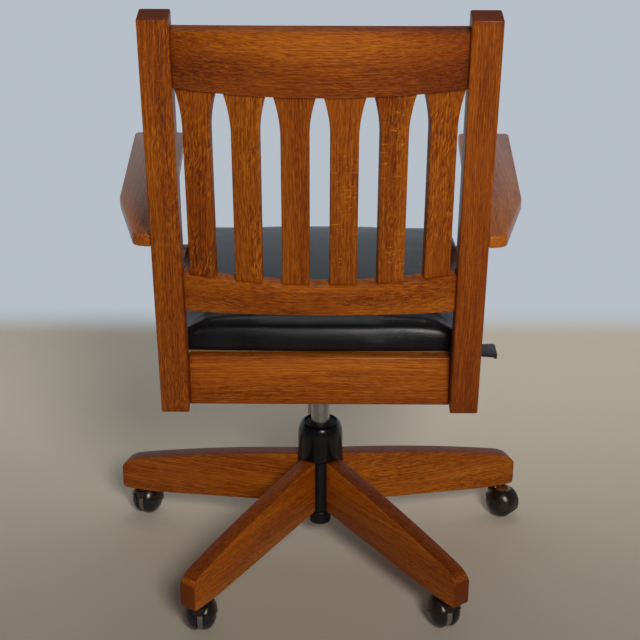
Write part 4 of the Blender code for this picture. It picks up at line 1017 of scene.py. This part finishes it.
def hood():
    half = dome(0.0261, 0.0066, 0.0234)
    outline = [(radius, -along) for radius, along in reversed(half)] + half
    shell = spun_ball("hood", outline)
    mouth = Vector((math.sin(HOOD_TILT), 0, math.cos(HOOD_TILT)))
    level = BALL + Vector((0, 0, 0.0022))
    edit(shell, "EDGE")
    everything()
    bpy.ops.mesh.bisect(plane_co=level, plane_no=mouth, clear_inner=True)
    pick(shell, lambda co: abs((co - level).dot(mouth)) < 0.00002)
    bpy.ops.mesh.extrude_edges_move(TRANSFORM_OT_translate={"value": mouth * -0.0007})
    done(shell)
    wall = shell.modifiers.new("Wall", "SOLIDIFY")
    wall.thickness = 0.0011
    wall.offset = -1.0
    apply_all(shell)
    edit(shell, "FACE")
    pick(shell, lambda co: (co - level).dot(mouth) < -0.00069)
    bpy.ops.mesh.extrude_region_shrink_fatten(TRANSFORM_OT_shrink_fatten={"value": 0.0})
    bpy.ops.transform.resize(value=(1.03, 1.03, 1.0), center_override=level)
    done(shell)
    return shell


def collar():
    line = [(0, 0.0500), (0.0088, 0.0500), (0.0095, 0.0495), (0.0096, 0.0484), (0.0089, 0.0480)]
    line += [(0.0089, 0.0477), (0.0113, 0.0474), (0.0120, 0.0467), (0.0120, 0.0456), (0.0112, 0.0450)]
    line += [(0.0104, 0.0444), (0.0101, 0.0420), (0.0096, 0.0380), (0.0088, 0.0335), (0, 0.0335)]
    ring = spin(draw("collar", [(radius, 0, z) for radius, z in line]), steps=40)
    half = dome(0.0252, 0.0066, 0.0227)
    outline = [(radius, -along) for radius, along in reversed(half)] + half
    return carve(ring, spun_ball("space", outline, 40))


hood_piece = hood()
neck = collar()
active(neck)
hood_piece.select_set(True)
bpy.context.view_layer.objects.active = hood_piece
bpy.ops.object.join()
smooth(hood_piece, 40)

stem_line = [(0, 0.086), (0.0044, 0.086), (0.0055, 0.0842), (0.0055, 0.0527), (0.0071, 0.0527)]
stem_line += [(0.0075, 0.0524), (0.0075, 0.0519), (0.0070, 0.0517), (0.0070, 0.0514), (0.0075, 0.0512)]
stem_line += [(0.0075, 0.0507), (0.0071, 0.0504), (0.0040, 0.0504), (0.0040, 0.044), (0, 0.044)]
stem = smooth(spin(draw("stem", [(radius, 0, z) for radius, z in stem_line]), steps=32), 40)

web_line = [(0, 0.0044), (0.0215, 0.0044), (0.0228, 0.0040), (0.0234, 0.0032), (0.0236, 0.0)]
web_line += [(radius, -along) for radius, along in reversed(web_line[:-1])]
web = smooth(spun_ball("web", web_line), 40)
caster_pieces = {
    "hood": (hood_piece, BRONZE, "hood"),
    "stem": (stem, STEM_METAL, "stem"),
    "web": (web, WEB_GREY, "hood"),
    "wheel_a": (half_wheel("wheel_a", -1), WHEEL_BLACK, "wheel_a"),
    "wheel_b": (half_wheel("wheel_b", 1), WHEEL_BLACK, "wheel_b"),
}
print("one caster of", len(caster_pieces), "pieces")

# %% A caster under each leg
for number, (leg_angle, angle) in enumerate(zip(LEG_ANGLES, CASTER_ANGLES), 1):
    foot = Vector((math.sin(leg_angle), math.cos(leg_angle), 0)) * CASTER_CIRCLE
    stand = Matrix.Translation(foot) @ Matrix.Rotation(math.pi / 2 - angle, 4, "Z")
    for name, (piece, material, node) in caster_pieces.items():
        twin = settle(copied(piece, f"ball_caster_{number}_{name}"), COLUMN @ stand)
        stand_for(twin, f"caster_{number}_{node}", material, beside=name == "web")
        if name == "hood":
            # The rings of the collar are rubbed through to the brass.
            twin.data.materials.append(STEM_METAL)
            peak = max(vertex.co.z for vertex in twin.data.vertices)
            rim = [vertex.co for vertex in twin.data.vertices if vertex.co.z > peak - 0.0005]
            middle = Vector([(min(co[k] for co in rim) + max(co[k] for co in rim)) / 2 for k in (0, 1)])
            for face in twin.data.polygons:
                beside = (face.center.to_2d() - middle).length
                on_collar = face.center.z > COLLAR_RINGS and beside < COLLAR_REACH
                face.material_index = int(on_collar)
for piece, _, _ in caster_pieces.values():
    bpy.data.objects.remove(piece, do_unlink=True)
print("five casters at", [round(math.degrees(angle)) for angle in CASTER_ANGLES])

# %% [markdown]
# ## Under the seat
# The tilt plate and its housing are pressed steel, the paddle and the knob are moulded. Their solids
# have the right shapes already, with sharp edges. A copy of each is merged into whole faces and its
# edges are eased, which is what makes pressed and moulded pieces catch the light.

# %% Pressed and moulded pieces
def merged_copy(node, name, reach=0.00001):
    """A free copy of a CAD node, with its doubled points merged."""
    piece = copied(NODES[node], name)
    piece.parent = None
    edit(settle(piece))
    everything()
    bpy.ops.mesh.remove_doubles(threshold=reach)
    return done(piece)


def finer(piece):
    """Divides every face once, which rounds the piece."""
    rounder = piece.modifiers.new("Round", "SUBSURF")
    rounder.levels = 1
    rounder.render_levels = 1
    return apply_all(piece)


def eased(node, name, material, width, segments=2):
    """A copy of a CAD node with merged faces and eased edges, in the node's place."""
    piece = merged_copy(node, name)
    edit(piece)
    everything()
    bpy.ops.mesh.dissolve_limited(angle_limit=math.radians(0.5))
    soften(done(piece), width, segments, 35)
    stand_for(smooth(piece, 35), node, material)


eased("tilt_plate", "seat_plate", BLACK_STEEL, 0.0006)
eased("tilt_housing", "housing", BLACK_STEEL, 0.0006)
eased("lever_paddle", "paddle", PADDLE_BLACK, 0.0006, 3)
eased("tension_knob", "knob", KNOB_PLASTIC, 0.0005)
print("four pieces under the seat")

# %% [markdown]
# ## The tension spring
# The coil sits on the bolt between the knob and the housing. When the seat tips back, the bolt
# leans with the seat and the knob comes up, so the coil goes with the bolt. On the real chair it is
# pressed together to about half its length; here it keeps its full length. A helix could be
# screwed from a circle; the solid's own coil is merged and rounded instead, because it already has
# the right turns.

# %% The spring on its bolt
coil = finer(merged_copy("tilt_spring", "coil_spring"))
wear(smooth(coil, 60), ZINC)
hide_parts("tilt_spring")
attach(coil, "seat")
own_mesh(coil)
print("spring of", len(coil.data.polygons), "faces")

# %% [markdown]
# ## The leather seat
# The seat is foam under black leather, pulled down over the edges. Its solid in the model has the
# plan and the crown. A copy of it is remeshed into even cells and blown up a little as cloth, so
# that the sides swell between the corners as stuffed leather does, and its underside is held flat.

# %% The seat pad
PUFF_CAP = 0.0035
REAR_HALF = 0.2000
SPLAY = 0.0180 / 0.427
CORNER_ROLL = 0.12
SIDE_ROLL = 0.048
REAR_FULLNESS = 0.026

pad = merged_copy("seat_cushion", "leather_seat", 0.00005)
pad.data.remesh_voxel_size = 0.006
active(pad)
bpy.ops.object.voxel_remesh()
print("pad cells", len(pad.data.polygons))
UNDERSIDE = min(vertex.co.z for vertex in pad.data.vertices)


def puff(piece, cap):
    """Blows a piece up as cloth for a short while, and limits how far any point may go."""
    start = [vertex.co.copy() for vertex in piece.data.vertices]
    held = piece.vertex_groups.new(name="held")
    for vertex in piece.data.vertices:
        if vertex.co.z < UNDERSIDE + 0.004:
            held.add([vertex.index], 1.0, "REPLACE")
    cloth = piece.modifiers.new("Puff", "CLOTH")
    cloth.settings.quality = 5
    cloth.settings.mass = 0.3
    cloth.settings.tension_stiffness = 30
    cloth.settings.compression_stiffness = 12
    cloth.settings.bending_stiffness = 1.2
    cloth.settings.use_pressure = True
    cloth.settings.uniform_pressure_force = 4.0
    cloth.settings.vertex_group_mass = "held"
    cloth.settings.effector_weights.gravity = 0.0
    cloth.collision_settings.use_collision = False
    for number in range(1, 16):
        bpy.context.scene.frame_set(number)
    apply_all(piece)
    bpy.context.scene.frame_set(1)
    for vertex, origin in zip(piece.data.vertices, start):
        move = vertex.co - origin
        if move.length > cap:
            vertex.co = origin + move.normalized() * cap


def rolled(distance, radius):
    """How high a quarter-round edge stands at a distance in from its side, from 0 to 1."""
    t = min(max(distance / radius, 0.0), 1.0)
    return math.sqrt(1 - (1 - t) ** 2)


# The stuffing fills the middle of the back edge and thins out towards the corners and the sides.
PAD_REAR = max(vertex.co.y for vertex in pad.data.vertices)
for vertex in pad.data.vertices:
    behind = PAD_REAR - vertex.co.y
    inward = REAR_HALF + SPLAY * behind - abs(vertex.co.x)
    corner = 1 - rolled(inward, CORNER_ROLL)
    full = 1 + (0.36 - 0.74 * corner) * math.exp(-behind / REAR_FULLNESS)
    side = 0.60 + 0.40 * rolled(inward, SIDE_ROLL)
    vertex.co.z = UNDERSIDE + (vertex.co.z - UNDERSIDE) * full * side

puff(pad, PUFF_CAP)
# Leather under tension keeps no ridge, so the shape is relaxed before it is made finer.
relaxed = pad.modifiers.new("Relaxed", "SMOOTH")
relaxed.factor = 0.5
relaxed.iterations = 6
smooth(finer(pad), 80)


def leather(name):
    """Smooth black leather: a fine pebble, a few creases, and a sheen that varies."""
    hide = Recipe(name, specular_ior_level=0.25)
    cells = hide.add(
        "ShaderNodeTexVoronoi",
        {"feature": "DISTANCE_TO_EDGE"},
        {"Vector": hide.place(), "Scale": 620.0, "Randomness": 1.0},
    )
    pebble = cells.step(0.0, 0.12)
    clouds = hide.noise(hide.place(), 9.0, 4.0)
    creases = hide.noise(hide.stretch(hide.place(), (60.0, 14.0, 60.0)), 1.0, 3.0, 0.6, 1.2)
    slanted = hide.moved(hide.place(), Rotation=(0, math.radians(38), 0))
    puckers = hide.noise(hide.stretch(slanted, (230.0, 24.0, 34.0)), 1.0, 2.0, 0.5, 0.3)
    sideways = hide.coordinate(hide.place(), 0)
    puckered = hide.noise(hide.place(), 22.0, 1.0).step(0.35, 0.60) * sideways.step(-0.06, -0.12)
    colour = hide.mix(clouds.step(0.3, 0.75), (0.005, 0.005, 0.006), (0.011, 0.011, 0.012))
    hide.set("Base Color", colour)
    hide.set("Roughness", clouds.step(0.3, 0.75, 0.20, 0.28) - creases.step(0.55, 0.7) * 0.04)
    hide.bump(pebble * 0.25 + creases * 0.5 + puckers * puckered * 5.0, 0.25, 0.0006)
    return hide.material


stand_for(pad, "seat_cushion", leather("black_leather"))
